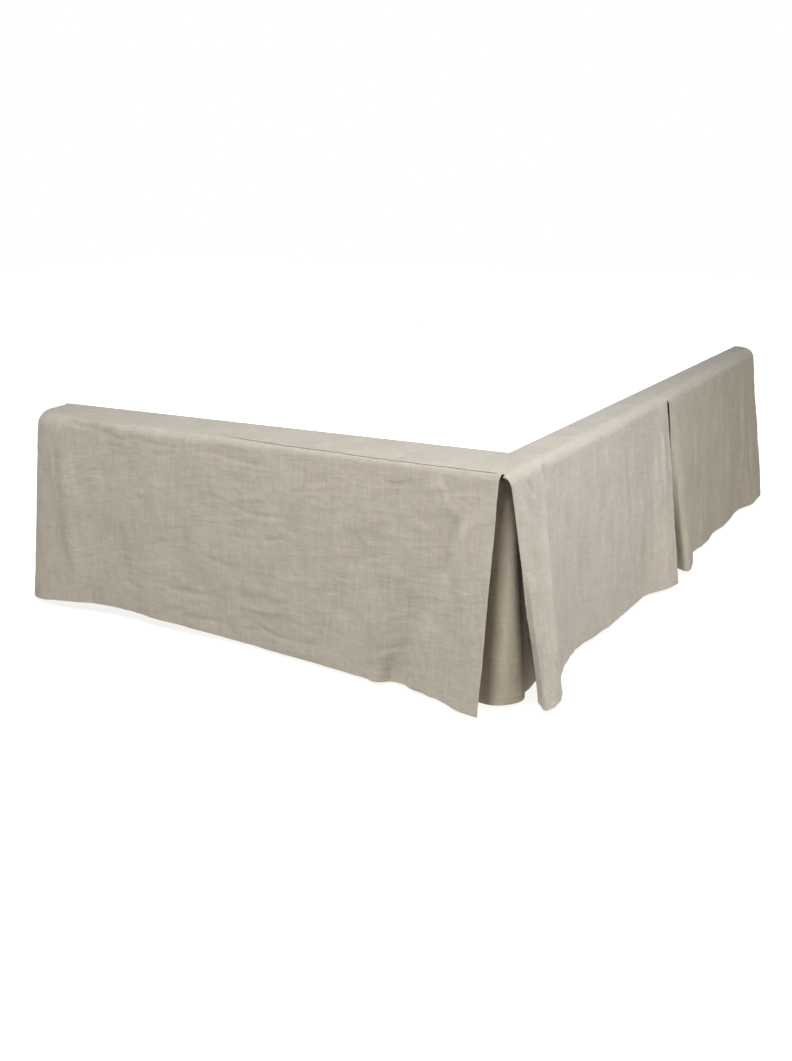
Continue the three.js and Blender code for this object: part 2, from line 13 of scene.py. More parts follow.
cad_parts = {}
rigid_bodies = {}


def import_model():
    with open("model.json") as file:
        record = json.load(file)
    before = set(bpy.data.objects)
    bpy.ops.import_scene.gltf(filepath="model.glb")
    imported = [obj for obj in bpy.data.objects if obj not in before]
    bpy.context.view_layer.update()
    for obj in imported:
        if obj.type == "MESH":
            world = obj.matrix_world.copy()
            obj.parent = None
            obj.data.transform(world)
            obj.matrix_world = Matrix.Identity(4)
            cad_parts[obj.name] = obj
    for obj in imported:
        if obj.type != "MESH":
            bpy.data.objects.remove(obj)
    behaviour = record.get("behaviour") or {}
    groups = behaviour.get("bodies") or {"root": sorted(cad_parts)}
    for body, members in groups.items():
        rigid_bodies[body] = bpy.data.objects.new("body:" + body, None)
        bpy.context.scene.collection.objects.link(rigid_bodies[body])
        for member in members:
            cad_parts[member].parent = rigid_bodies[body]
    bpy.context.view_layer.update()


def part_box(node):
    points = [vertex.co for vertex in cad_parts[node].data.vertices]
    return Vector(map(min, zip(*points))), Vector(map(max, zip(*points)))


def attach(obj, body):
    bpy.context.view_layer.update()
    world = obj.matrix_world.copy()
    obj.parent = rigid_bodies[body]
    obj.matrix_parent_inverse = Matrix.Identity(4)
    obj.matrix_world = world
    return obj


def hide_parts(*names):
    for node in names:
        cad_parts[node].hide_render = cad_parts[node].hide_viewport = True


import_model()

bl_info = {
    "name": "Tailored Bed Skirt",
    "version": (1, 0, 0),
    "blender": (4, 5, 0),
    "location": "3D View > Sidebar > Bed Skirt",
    "description": "Sews a linen bed skirt over a plain bed base",
    "category": "Object",
}

MM = 0.001
BODY = "root"

# ---------------------------------------------------------------- sizes, in millimetres
# The bed as the hanging cloth measures it
HALF_WIDTH = 700.0
HALF_LENGTH = 1000.0
TOP_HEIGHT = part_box("deck")[1].z / MM
CORNER_RADIUS = 80.0
TURN = CORNER_RADIUS * math.pi / 2

# Where pieces start and end along the ways round the bed
RIGHT_MIDDLE = HALF_LENGTH
RIGHT_END = 2 * HALF_LENGTH - CORNER_RADIUS + TURN
FOOT_FREE_EDGE = 12.0
FOOT_TURN = 2 * HALF_WIDTH - CORNER_RADIUS
LEFT_SPLIT = FOOT_TURN + 70
LEFT_STRAIGHT = FOOT_TURN + TURN
WHITE_START = LEFT_STRAIGHT + 61
LEFT_MIDDLE = LEFT_STRAIGHT + HALF_LENGTH - CORNER_RADIUS
LEFT_END = LEFT_MIDDLE + HALF_LENGTH - CORNER_RADIUS + TURN

# Splits: how wide between the drops, how nearly they meet at the seam, and how far the
# side drops gape just below it
SPLIT_GAP = 3.0
SEAM_GAP = 0.4
SPLIT_GAPE = 7.2

# Underlays: how far inside the wall, how high, how long the part above that is turned back
# and how far, and how wide before and past a corner or at a side's middle
UNDERLAY_INSET = 8.0
UNDERLAY_TOP = 478.0
UNDERLAY_REACH = 21.0
UNDERLAY_BEND = 9.0
UNDERLAY_BEFORE = 60.0
UNDERLAY_PAST = 100.0
UNDERLAY_MIDDLE = 260.0

# Sewing: the seam's allowance and how near a margin comes to the seam, how far stitches lie
# inside a hem's fold, how far apart, how long, and how wide and proud the thread is
SEAM_ALLOWANCE = 12.0
SEAM_BUTT = 0.15
STITCH_INSET = 2.0
STITCH_PITCH = 3.4
STITCH_LENGTH = 0.76 * STITCH_PITCH
THREAD_HALF_WIDTH = 0.3
THREAD_HEIGHT = 0.34

# The foot seam laps and creeps up by the near corner: in full to here, then less and less
LAP_FULL = 620.0
LAP_FADE = 260.0
CREEP = 10.0
CREEP_FULL = 420.0
CREEP_FADE = 300.0

# A turned edge: how far its rounding reaches past half the cloth, and the least of its
# thickness that the cloth keeps
RIM_REACH = 0.3
RIM_LEAST = 0.18

# Where the mesh lines crowd together: in from a side edge, down past the seam, down to the
# hem, in from a margin's end and out to its seam; and how far apart a margin's others are
FINE_SIDE = (0, 0.35, 1, 2.5, 6, 10, 12.5, 14, 15.5, 18, 23)
FINE_SEAM = (-SEAM_ALLOWANCE, -6, -2.5, -1.2, -0.5, 0, 0.6, 1.5, 3, 5, 7.5, 10.5, 14, 18)
FINE_HEM = (26, 23.5, 22, 20.5, 19.2, 18, 15, 10, 6, 2.5, 1, 0.35, 0)
FINE_END = (0, 0.4, 1.5, 4)
FINE_MARGIN = (-32, -27, -22, -18, -14.5, -11.5, -9, -7, -5, -3.2, -1.8, -0.8, -0.3, -SEAM_BUTT)
MARGIN_STEP = 6.0

# Unevenness: wrinkles by piece, how a lapped margin puffs, how stitches pull the cloth at
# its hem and sides and sink into it, and how the sides sway and waver
UNDERLAY_WRINKLES = 0.8
MARGIN_WRINKLES = 0.6
DECK_WRINKLES = 0.7
LAP_PUFF = 0.6
HEM_PULL = 0.45
SIDE_PULL = 0.4
STITCH_GROOVE = 0.4
SIDE_SWAY = 1.1
SIDE_WAVER = 0.5

# How the wrinkles lie, as angles from the way: nearly level on the foot and nearly upright
# on the sides, straight down on the underlays, and slanting on the margins and the deck
LEVEL = math.radians(8)
UPRIGHT = math.radians(84)
PLUMB = math.pi / 2
MARGIN_SLANT = 0.2
DECK_SLANT = 0.5

# Deck
DECK_LEFT, DECK_RIGHT = (corner.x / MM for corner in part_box("deck"))
DECK_FOOT_LEFT, DECK_HEAD = (corner.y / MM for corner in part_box("deck"))
DECK_FOOT_RIGHT = -807.0
DECK_TURN = 900.0
DECK_HEAD_HALF_WIDTH = 619.0
DECK_SUNK = 0.3
DECK_THICKNESS = 0.8

Way = namedtuple("Way", "x y heading radius legs")
EdgeRow = namedtuple("EdgeRow", "run seam roll proud drop")
HemRow = namedtuple("HemRow", "run shift out hem")
DeckRow = namedtuple("DeckRow", "run x y slant")
Crease = namedtuple("Crease", "run depth to_run to_depth bow width height")


def table(kind, rows):
    return [kind(*row) for row in rows]


# Ways round the bed: a start, a heading, and a left turn after each leg. The foot and the
# left side are laid out in mirror image, from the near corner, and mirrored back.
RIGHT_WAY = Way(
    HALF_WIDTH, -HALF_LENGTH, math.pi / 2, CORNER_RADIUS, (2 * HALF_LENGTH - CORNER_RADIUS,),
)
FOOT_WAY = Way(
    -HALF_WIDTH, -HALF_LENGTH, 0.0, CORNER_RADIUS,
    (2 * HALF_WIDTH - CORNER_RADIUS, 2 * HALF_LENGTH - 2 * CORNER_RADIUS),
)
CORNER_UNDERLAY_WAY = Way(
    HALF_WIDTH - CORNER_RADIUS - UNDERLAY_BEFORE, UNDERLAY_INSET - HALF_LENGTH, 0.0,
    CORNER_RADIUS - UNDERLAY_INSET, (UNDERLAY_BEFORE,),
)
MIDDLE_UNDERLAY_WAY = Way(
    HALF_WIDTH - UNDERLAY_INSET, -UNDERLAY_MIDDLE / 2, math.pi / 2, CORNER_RADIUS,
    (UNDERLAY_MIDDLE,),
)

# How the cloth rolls over the base's edge: where the seam lies inside the wall plane, how
# wide the rounding is inside it, how far it stands proud of it and how high it is
RIGHT_EDGE = table(EdgeRow, [
    (0, -8, 6, 19, 28), (200, -2, 12, 14, 28), (1000, 4, 20, 10, 28), (1500, 10, 30, 4, 28),
    (1930, 17, 40, -7, 30), (2046, 18, 40, -8, 30),
])
FOOT_EDGE = table(EdgeRow, [
    (0, 5, 14, 0, 14), (300, 2, 14, 0, 14), (520, 6, 15, 0, 16), (810, 28, 20, 0, 20),
    (1120, 32, 26, -1, 26), (1250, 24, 34, -3, 34), (1340, 14, 40, -5, 42),
    (1450, 11, 38, -5, 42), (3290, 11, 28, -3, 30), (3412, 5, 26, -3, 28),
])

# Where each hem hangs: shifted along the way, standing out from the wall, and its height
FOOT_HEM = table(HemRow, [
    (12, 0, 93, 7), (50, 0, 89, 7), (95, 0, 74, 7), (145, 0, 50, 7), (200, 0, 33, 7),
    (245, 0, 29, 7), (300, 0, 36, 7), (400, 0, 30, 7), (575, 0, 17, 7), (700, 0, 9, 8),
    (880, 0, 12, 17), (950, 0, 16, 20), (1050, 0, 10, 22), (1165, 0, 15, 23), (1237, 0, 28, 20),
    (1300, 0, 33, 15), (1365, 0, 41, 9), (1390, 0, 40, 9),
])
RIGHT_FOOT_HEM = table(HemRow, [
    (0, 35, 70, 8), (41, -30, 103, 8), (62, -31, 110, 8), (102, -31, 107, 8), (230, -40, 58, 8),
    (400, -43, 26, 8), (505, -44, 36, 8), (625, -44, 41, 8), (810, -44, 42, 8), (880, -48, 66, 8),
    (940, -56, 85, 8), (1000, -80, 88, 7),
])
RIGHT_HEAD_HEM = table(HemRow, [
    (1003, 36, 44, 8), (1045, -22, 78, 8), (1075, -36, 84, 8), (1135, -40, 74, 8),
    (1260, -45, 42, 8), (1360, -45, 46, 8), (1460, -45, 37, 8), (1540, -45, 43, 8),
    (1750, -45, 32, 8), (1860, -46, 54, 8), (1930, -46, 53, 8), (1990, -45, 42, 8),
    (2046, -42, 32, 8),
])
LEFT_FOOT_HEM = table(HemRow, [
    (1393, 6, 36, 9), (1480, 0, 28, 9), (1640, -4, 18, 8), (1820, -6, 34, 8), (2010, -8, 20, 8),
    (2210, -12, 38, 8), (2366, -20, 48, 8),
])
LEFT_HEAD_HEM = table(HemRow, [
    (2369, 10, 34, 8), (2430, -8, 46, 8), (2600, -12, 22, 8), (2830, -12, 34, 8),
    (3060, -12, 20, 8), (3270, -12, 40, 8), (3411, -12, 26, 8),
])
CORNER_RIGHT_HEM = table(HemRow, [
    (0, 0, 15, 8), (60, 0, 28, 8), (109, 0, 54, 7), (137, 0, 55, 7), (173, 0, 33, 8),
    (215, 0, 30, 8), (273, 0, 17, 8),
])
CORNER_LEFT_HEM = table(HemRow, [
    (0, 0, 6, 16), (60, 0, 14, 15), (116, 0, 22, 14), (173, 0, 16, 12), (273, 0, 8, 12),
])
MIDDLE_HEM = table(HemRow, [
    (0, 0, 9, 9), (90, 0, 14, 9), (170, 0, 11, 9), (260, 0, 14, 9),
])

# The deck's edge as the margins meet it; slant is the near mitre
MITRE_SLANT = (HALF_LENGTH + DECK_FOOT_RIGHT) / (HALF_WIDTH - DECK_RIGHT)
FOOT_DECK_EDGE = table(DeckRow, [
    (0, -DECK_RIGHT, DECK_FOOT_RIGHT, 1 / MITRE_SLANT), (100, -600, -807.4, 0),
    (FOOT_TURN, 640, -852.0, 0), (WHITE_START, 683, -859, 0),
])
RIGHT_DECK_EDGE = table(DeckRow, [
    (0, DECK_RIGHT, DECK_FOOT_RIGHT, MITRE_SLANT), (240, DECK_RIGHT, -760, 0),
    (1880, DECK_RIGHT, DECK_TURN - 20, 0), (1920, DECK_RIGHT, DECK_TURN, 0),
    (RIGHT_END, DECK_HEAD_HALF_WIDTH, DECK_HEAD, 0),
])
LEFT_DECK_EDGE = table(DeckRow, [
    (WHITE_START, -DECK_LEFT, DECK_FOOT_LEFT, 0), (WHITE_START + 60, -DECK_LEFT, -800, 0),
    (LEFT_END - TURN - 40, -DECK_LEFT, DECK_TURN - 20, 0),
    (LEFT_END - TURN, -DECK_LEFT, DECK_TURN, 0), (LEFT_END, DECK_HEAD_HALF_WIDTH, DECK_HEAD, 0),
])

# Main creases: from a run and a depth below the seam to another, how far the middle bows
# to the side, how wide and how high. A negative height is a trough.
FOOT_CREASES = table(Crease, [
    (100, 76, 132, 255, 3, 13, -3.7), (76, 85, 104, 265, 3, 13, 2.8),
    (158, 12, 118, 100, 4, 7, 2.2), (176, 18, 136, 108, 4, 16, 1.8),
    (84, 100, 80, 300, 0, 8, 1.0), (76, 60, 68, 340, 0, 13, 1.2),
    (164, 290, 204, 556, 3, 21, 2.8), (204, 262, 254, 556, 5, 21, -3.8),
    (256, 420, 270, 560, 0, 12, -2.6), (306, 280, 290, 560, 0, 20, 3.2),
    (372, 150, 362, 262, 0, 20, -1.8), (440, 352, 350, 368, 2, 14, -1.2),
    (352, 160, 338, 255, 0, 14, -1.5), (350, 170, 440, 500, 8, 24, -2.8),
    (225, 42, 292, 44, 1, 4, -1.5), (600, 59, 800, 55, 2, 4.0, -0.8),
    (600, 68, 800, 64, 2, 5.5, 0.4), (850, 58, 1020, 63, -2, 4.5, -0.7),
    (545, 164, 705, 186, 4, 5.5, -1.3), (600, 136, 712, 161, -3, 6.5, 1.1),
    (550, 212, 632, 242, 3, 5.5, -1.6), (550, 390, 712, 427, 5, 7, 1.6),
    (590, 370, 725, 402, 4, 9, -1.2), (760, 421, 945, 417, 3, 8, -1.4),
    (860, 456, 960, 459, 0, 16, 1.4), (730, 477, 890, 488, 2, 8, -1.6),
    (440, 454, 690, 466, 3, 7, -1.4), (1340, 110, 1316, 250, 4, 17, -1.5),
    (1318, 210, 1262, 420, 4, 24, -1.6), (1262, 350, 1236, 446, 4, 13, -1.2),
    (1272, 20, 1232, 500, 12, 26, 3.6), (1310, 60, 1300, 180, 3, 8, 1.6),
    (1262, 18, 1060, 46, -3, 5, -1.3), (1200, 42, 1010, 64, 2, 4.5, -1.1),
    (1180, 12, 1040, 32, 0, 6, 0.9), (1050, 50, 930, 58, 1, 4, -0.8),
    (1214, 200, 1188, 360, 4, 15, 1.2), (970, 199, 1070, 207, 3, 5, -1.1),
    (890, 78, 970, 85, 2, 5, -1.0), (925, 292, 968, 322, 2, 6, -1.3),
    (1000, 442, 1080, 424, 2, 7, -1.1), (480, 300, 560, 318, 2, 6, 1.0),
    (700, 330, 800, 318, 4, 7, -1.0), (1120, 120, 1150, 300, 10, 14, -1.1),
    (1060, 250, 1035, 420, 6, 16, 1.1), (16, 314, 46, 332, 1, 4, -1.1),
    (160, 330, 150, 560, 3, 16, 1.6), (104, 360, 98, 560, 2, 16, -1.2),
    (30, 200, 26, 420, 2, 9, -1.1),
])
RIGHT_FOOT_CREASES = table(Crease, [
    (76, 18, 108, 66, 2, 6, -1.7), (170, 4, 184, 66, 0, 8, -2.6), (174, 30, 96, 560, 20, 18, 3.2),
    (22, 20, 78, 220, -6, 15, 2.2), (60, 240, 52, 520, 4, 18, -2.2),
    (352, 50, 345, 450, -8, 16, 1.7), (472, 25, 462, 145, 2, 7, 1.3),
    (535, 10, 560, 125, 2, 7, 1.4), (614, 340, 606, 430, 0, 8, 1.1),
    (942, 70, 946, 280, 3, 10, 1.4), (602, 140, 600, 340, 5, 11, -1.0),
    (240, 90, 262, 300, 6, 14, -1.2), (420, 200, 412, 470, 5, 18, -1.3),
    (700, 60, 712, 330, -8, 15, -1.1), (800, 180, 790, 470, 6, 17, 1.2),
    (880, 60, 870, 460, 5, 14, -1.2), (250, 236, 318, 262, 2, 6, -1.1),
    (398, 302, 432, 318, 2, 5, -1.3),
])
RIGHT_HEAD_CREASES = table(Crease, [
    (1264, 60, 1271, 380, 2, 9, 1.5), (1786, 30, 1779, 430, 4, 16, 2.2),
    (1500, 110, 1512, 200, 0, 12, -1.1), (1142, 180, 1134, 480, 4, 20, -2.0),
    (1318, 360, 1310, 560, 0, 11, 1.3), (1420, 60, 1432, 400, 8, 18, -1.2),
    (1600, 100, 1590, 470, -8, 18, 1.2), (1690, 40, 1700, 300, 5, 13, -1.2),
    (1850, 60, 1846, 480, 4, 15, -1.8),
])
LEFT_FOOT_CREASES = table(Crease, [
    (1500, 30, 1480, 560, 12, 18, 2.2), (1640, 20, 1655, 420, 8, 14, -1.8),
    (1800, 60, 1785, 560, -10, 20, 2.0), (1960, 20, 1975, 300, 5, 10, -1.5),
    (2090, 120, 2080, 560, 10, 16, -2.0), (2230, 40, 2215, 560, 8, 18, 2.4),
])
LEFT_HEAD_CREASES = table(Crease, [
    (2440, 40, 2452, 560, -8, 15, 2.2), (2590, 20, 2580, 380, 6, 12, -1.6),
    (2720, 90, 2730, 560, 10, 18, -1.8), (2880, 30, 2866, 560, 8, 18, 2.2),
    (3060, 60, 3072, 400, 4, 12, -1.5), (3190, 20, 3180, 560, 10, 16, 2.0),
])
CORNER_RIGHT_CREASES = table(Crease, [
    (150, -10, 120, 560, 4, 17, 6.0), (98, -60, 89, 560, 3, 13, -6.4),
    (184, 70, 164, 560, 5, 12, -6.0), (200, -20, 214, 560, 0, 18, -3.0),
    (112, 150, 100, 214, 2, 6, -2.0), (136, 30, 120, 90, 2, 6, -1.5),
    (122, 300, 106, 350, 2, 7, -1.5),
])

# The ways and edges by side: 1 is the right, and -1 the foot and the left, mirrored
WAYS = {1: (RIGHT_WAY, RIGHT_EDGE), -1: (FOOT_WAY, FOOT_EDGE)}


# ---------------------------------------------------------------- cloth geometry
def smoothstep(x):
    x = np.clip(x, 0, 1)
    return x * x * (3 - 2 * x)


def bell(x, width):
    """1 at nought, fading smoothly both ways over a width."""
    return np.exp(-((x / width) ** 2))


def column(rows, name, run):
    """One column of a table at a run, as a smooth line that doesn't overshoot its rows."""
    runs = np.array([r.run for r in rows], float)
    values = np.array([getattr(r, name) for r in rows], float)
    steps = np.diff(runs)
    slopes = np.diff(values) / steps
    tangents = np.concatenate([slopes[:1], np.zeros(len(rows) - 2), slopes[-1:]])
    for i, (before, after) in enumerate(zip(slopes, slopes[1:]), 1):
        if before * after > 0:
            tangents[i] = 2 * before * after / (before + after)
    run = np.asarray(run, float)
    k = np.clip(np.searchsorted(runs, run, side="right") - 1, 0, len(rows) - 2)
    t = np.clip((run - runs[k]) / steps[k], 0, 1)
    bend = tangents[k] * t * (1 - t) ** 2 - tangents[k + 1] * (1 - t) * t**2
    line = values[k] * (1 + 2 * t) * (1 - t) ** 2 + values[k + 1] * (3 - 2 * t) * t**2
    return line + bend * steps[k]


def straight_column(rows, name, run):
    """One column of a table at a run, straight from row to row."""
    return np.interp(run, [r.run for r in rows], [getattr(r, name) for r in rows])


def way_at(way, run):
    """Points along a way with the directions out of the bed and along the way."""
    rest = np.array(run, float)
    x, y = np.full(rest.shape, way.x), np.full(rest.shape, way.y)
    heading = np.full(rest.shape, way.heading)
    for leg in way.legs:
        straight = np.minimum(rest, leg)
        x, y = x + straight * np.cos(heading), y + straight * np.sin(heading)
        rest = rest - straight
        turned = np.clip(rest / way.radius, 0, math.pi / 2)
        x = x + way.radius * (np.sin(heading + turned) - np.sin(heading))
        y = y - way.radius * (np.cos(heading + turned) - np.cos(heading))
        heading, rest = heading + turned, rest - turned * way.radius
    x, y = x + rest * np.cos(heading), y + rest * np.sin(heading)
    out = np.stack([np.sin(heading), -np.cos(heading)], -1)
    along = np.stack([np.cos(heading), np.sin(heading)], -1)
    return np.stack([x, y], -1), out, along


def place(way, run, out, z, slant=0.0):
    """Points off a way: so far out of the bed, at a height, and slanted along it inside."""
    point, outward, along = way_at(way, run)
    plan = point + outward * out[..., None] + along * (slant * np.maximum(-out, 0))[..., None]
    return np.concatenate([plan, z[..., None]], -1)


def roll_at(edge, run, distance):
    """Out and height on the rounding, at a developed distance from the flat top's end."""
    roll, drop = column(edge, "roll", run), column(edge, "drop", run)
    width = roll + column(edge, "proud", run)
    angle = np.maximum(distance, 0) / ((width + drop) / 2)
    out = np.where(distance <= 0, distance - roll, width * np.sin(angle) - roll)
    return out, TOP_HEIGHT - drop * (1 - np.cos(angle))


def seam_distance(edge, run):
    """The seam's developed distance from the flat top's end."""
    roll = column(edge, "roll", run)
    width = roll + column(edge, "proud", run)
    inside = roll - column(edge, "seam", run)
    angle = np.arcsin(np.clip(inside / width, 0, 1))
    return np.where(inside <= 0, inside, angle * (width + column(edge, "drop", run)) / 2)


class Drop:
    """A drop's surface: over the base's edge from the seam and down to the hem."""

    def __init__(self, way, edge, hem):
        self.way, self.edge, self.hem = way, edge, hem

    def measure(self, run):
        """The seam and the rounding's end, where the hem hangs, and the fall between."""
        roll, drop, proud = (column(self.edge, name, run) for name in ("roll", "drop", "proud"))
        shift, out, hem = (column(self.hem, name, run) for name in ("shift", "out", "hem"))
        width = roll + proud
        end_angle = np.arctan2(width * (TOP_HEIGHT - drop - hem), drop * (out - proud))
        roll_end = end_angle * (width + drop) / 2
        edge_out, edge_z = roll_at(self.edge, run, roll_end)
        fall = np.sqrt((out - edge_out) ** 2 + (edge_z - hem) ** 2 + shift**2)
        return seam_distance(self.edge, run), roll_end, edge_out, edge_z, out, hem, shift, fall

    def length(self, run):
        seam, roll_end, *_, fall = self.measure(run)
        return roll_end - seam + fall

    def at(self, run, depth):
        seam, roll_end, edge_out, edge_z, out, hem, shift, fall = self.measure(run)
        distance = seam + depth
        roll_out, roll_z = roll_at(self.edge, run, distance)
        w = np.maximum(distance - roll_end, 0) / fall
        hanging = distance > roll_end
        out = np.where(hanging, edge_out + (out - edge_out) * w, roll_out)
        z = np.where(hanging, edge_z + (hem - edge_z) * w, roll_z)
        return place(self.way, run + shift * w, out, z)


class Underlay:
    """An underlay's surface: straight down from its top, flaring to its hem."""

    def __init__(self, way, hem):
        self.way, self.hem = way, hem

    def length(self, run):
        return np.hypot(UNDERLAY_TOP - column(self.hem, "hem", run), column(self.hem, "out", run))

    def at(self, run, depth):
        w = depth / self.length(run)
        z = UNDERLAY_TOP + (column(self.hem, "hem", run) - UNDERLAY_TOP) * w
        flare = column(self.hem, "out", run) * np.maximum(w, 0)
        over = UNDERLAY_BEND * (np.minimum(depth, 0) / UNDERLAY_REACH) ** 2
        return place(self.way, run, flare - over, z)


class Margin:
    """A margin's surface: flat from the deck and over the edge to the seam. Depth runs
    from the seam, negative towards the deck."""

    def __init__(self, way, edge, deck):
        self.way, self.edge, self.deck = way, edge, deck

    def at(self, run, depth):
        """Points on the surface, and the points of the deck's edge that they come from."""
        out, z = roll_at(self.edge, run, seam_distance(self.edge, run) + depth)
        x, y, slant = (straight_column(self.deck, name, run) for name in ("x", "y", "slant"))
        deck = np.stack([x, y, np.full(run.shape, TOP_HEIGHT)], -1)
        return place(self.way, run, out, z, slant), deck


def lap(edge, run):
    """How strongly the seam laps: full by the foot's near corner, fading to the left."""
    return (edge is FOOT_EDGE) * (1 - smoothstep((run - LAP_FULL) / LAP_FADE))


def seam_rise(edge, run):
    """How far the seam creeps up towards the deck by the foot's near corner."""
    creep = (edge is FOOT_EDGE) * CREEP * (1 - smoothstep((run - CREEP_FULL) / CREEP_FADE))
    waver = 0.9 * np.sin(run / 21.0) * np.sin(run / 53.0) + 0.5 * np.sin(run / 9.0)
    return creep + lap(edge, run) * waver


def lap_tuck(edge, run, below):
    """The groove that a drop starts in under the lapped seam, and the small ridge below it
    with a hollow by the near corner."""
    near = 1 - smoothstep((run - 110) / 120)
    ridge = 1.0 * bell(below - 6, 3.0) - 1.1 * near * bell(below - 12, 2.6)
    return lap(edge, run) * (ridge - 1.1 * bell(below - 0.5, 2.4))


def split_pull(runs, below, start, end, lean):
    """How far a drop's sides are drawn along the way. They nearly shut down to 12 mm below
    the seam, and at a split of the upright sides they gape there and close over 160 mm."""
    shut = (SPLIT_GAP - SEAM_GAP) / 2 * (1 - smoothstep((below - 12) / 18))
    gape = SPLIT_GAPE * smoothstep((below - 13) / 11) * (1 - smoothstep((below - 22) / 160))
    gape = gape * (lean == UPRIGHT)
    at_start, at_end = (smoothstep(1 - to / 20)[:, None] for to in (runs - start, end - runs))
    return (shut - gape * (end < RIGHT_END)) * at_end - (shut - gape * (start > 0)) * at_start


def side_sway(seed, runs, below, to_hem, to_side):
    """How unevenly a drop's sides hang between the seam and the hem."""
    sway = SIDE_SWAY * lattice_noise(seed + 12, below / 47, runs[:, None] / 500)
    sway += SIDE_WAVER * lattice_noise(seed + 13, below / 17, runs[:, None] / 500)
    sway *= smoothstep((below - 30) / 40) * smoothstep((to_hem - 6) / 20)
    return sway * smoothstep(1 - to_side / 45)


def lattice_noise(seed, u, v):
    """Smooth noise from -1 to 1 over a plane, with cells of size 1."""
    heights = np.random.default_rng(seed).uniform(-1, 1, (128, 128))
    iu, iv = np.floor(u).astype(int), np.floor(v).astype(int)
    fu, fv = smoothstep(u - iu), smoothstep(v - iv)
    a, b = heights[iu % 128, iv % 128], heights[(iu + 1) % 128, iv % 128]
    c = heights[iu % 128, (iv + 1) % 128]
    d = heights[(iu + 1) % 128, (iv + 1) % 128]
    return (a * (1 - fu) + b * fu) * (1 - fv) + (c * (1 - fu) + d * fu) * fv


def folds(creases, run, depth):
    """How far the creases of a table lift the cloth."""
    lift = np.zeros(np.broadcast(run, depth).shape)
    for c in creases:
        du, dv = c.to_run - c.run, c.to_depth - c.depth
        size = math.hypot(du, dv)
        t = ((run - c.run) * du + (depth - c.depth) * dv) / size**2
        beside = ((run - c.run) * dv - (depth - c.depth) * du) / size + c.bow * 4 * t * (1 - t)
        faded = smoothstep(t / 0.3) * smoothstep((1 - t) / 0.3)
        lift += c.height * bell(beside, c.width) * faded
    return lift


def crinkles(seed, run, depth, lean, length, width):
    """Short uneven wrinkles that lie at a lean from the way's direction, in patches."""
    along = run * math.cos(lean) + depth * math.sin(lean)
    across = depth * math.cos(lean) - run * math.sin(lean)
    sway = lattice_noise(seed, run / 60, depth / 60)
    wave = lattice_noise(seed + 1, along / length + 0.5 * sway, across / width + 1.1 * sway)
    fold = lattice_noise(seed + 2, along / length / 1.3, across / width / 1.2 + sway)
    fold = 1 - 2.2 * np.sqrt(np.abs(fold) + 0.01)
    patch = smoothstep(0.55 + 1.1 * lattice_noise(seed + 3, run / 120, depth / 90))
    return (0.75 * wave + 0.35 * fold) * (0.3 + 0.7 * patch)


def crumple(seed, run, depth, lean, height):
    """The linen's own unevenness: soft waves, wrinkles both ways and a fine pucker. The
    wrinkles are longer where they hang upright."""
    length, width = (106, 15) if lean >= UPRIGHT else (46, 12)
    soft = lattice_noise(seed, run / 95, depth / 140)
    soft += 0.5 * lattice_noise(seed + 1, run / 41, depth / 60)
    main = crinkles(seed + 2, run, depth, lean, length, width)
    cross = crinkles(seed + 6, run, depth, lean + math.pi / 2, 60, 13)
    pucker = lattice_noise(seed + 10, run / 9, depth / 9)
    return height * (0.8 * soft + 0.62 * main + 0.34 * cross + 0.16 * pucker)


# ---------------------------------------------------------------- cloth as meshes
def settings():
    return bpy.context.scene.bed_skirt


def finish_piece(piece, slot, *nodes):
    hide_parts(*nodes)
    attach(piece, BODY)
    return piece


def grid_normals(points):
    """Outward directions of a grid whose first index runs along and second downwards."""
    along, down = (np.gradient(points, axis=axis) for axis in (0, 1))
    normal = np.cross(down, along)
    return normal / np.linalg.norm(normal, axis=-1, keepdims=True)


def doubling(to_hem, to_side):
    """How doubled the cloth is by its hem and sides, from 0 to 1."""
    s = settings()
    at_hem = smoothstep((s.hem_height / MM + 1 - to_hem) / 2)
    return np.maximum(at_hem, smoothstep((s.side_hem / MM + 1 - to_side) / 2))


def halves(thickness, doubled):
    """How far a cloth's faces lie outside and inside its middle: half of the cloth, and more
    where it is doubled, mostly inside."""
    return thickness * (0.5 + 0.35 * doubled), thickness * (0.5 + 0.75 * doubled)


def cloth_faces(base, lift, thickness, half_out, half_in, to_edge):
    """The outer and inner faces of cloth that lies under a surface, thinned to a rounded
    rim near its turned edges."""
    middle = base + grid_normals(base) * (lift - thickness / 2)[..., None]
    normal = grid_normals(middle)
    near = np.clip(1 - to_edge / (half_out + RIM_REACH), 0, 1)
    rim = np.maximum(np.sqrt(1 - near**2), RIM_LEAST)
    outer = middle + normal * (half_out * rim)[..., None]
    return outer, middle - normal * (half_in * rim)[..., None]


def add_to_scene(name, data):
    thing = bpy.data.objects.new(name, data)
    bpy.context.scene.collection.objects.link(thing)
    return thing


def new_piece(name, points, faces, side, material):
    """A piece from points in millimetres and faces, mirrored where side is -1, with its
    faces as they end up."""
    points = points * MM
    points[:, 0] *= side
    if side < 0:
        faces = faces[:, ::-1]
    mesh = bpy.data.meshes.new(name)
    mesh.from_pydata(points.tolist(), [], faces.tolist())
    mesh.materials.append(material)
    mesh.update()
    return add_to_scene(name, mesh), faces


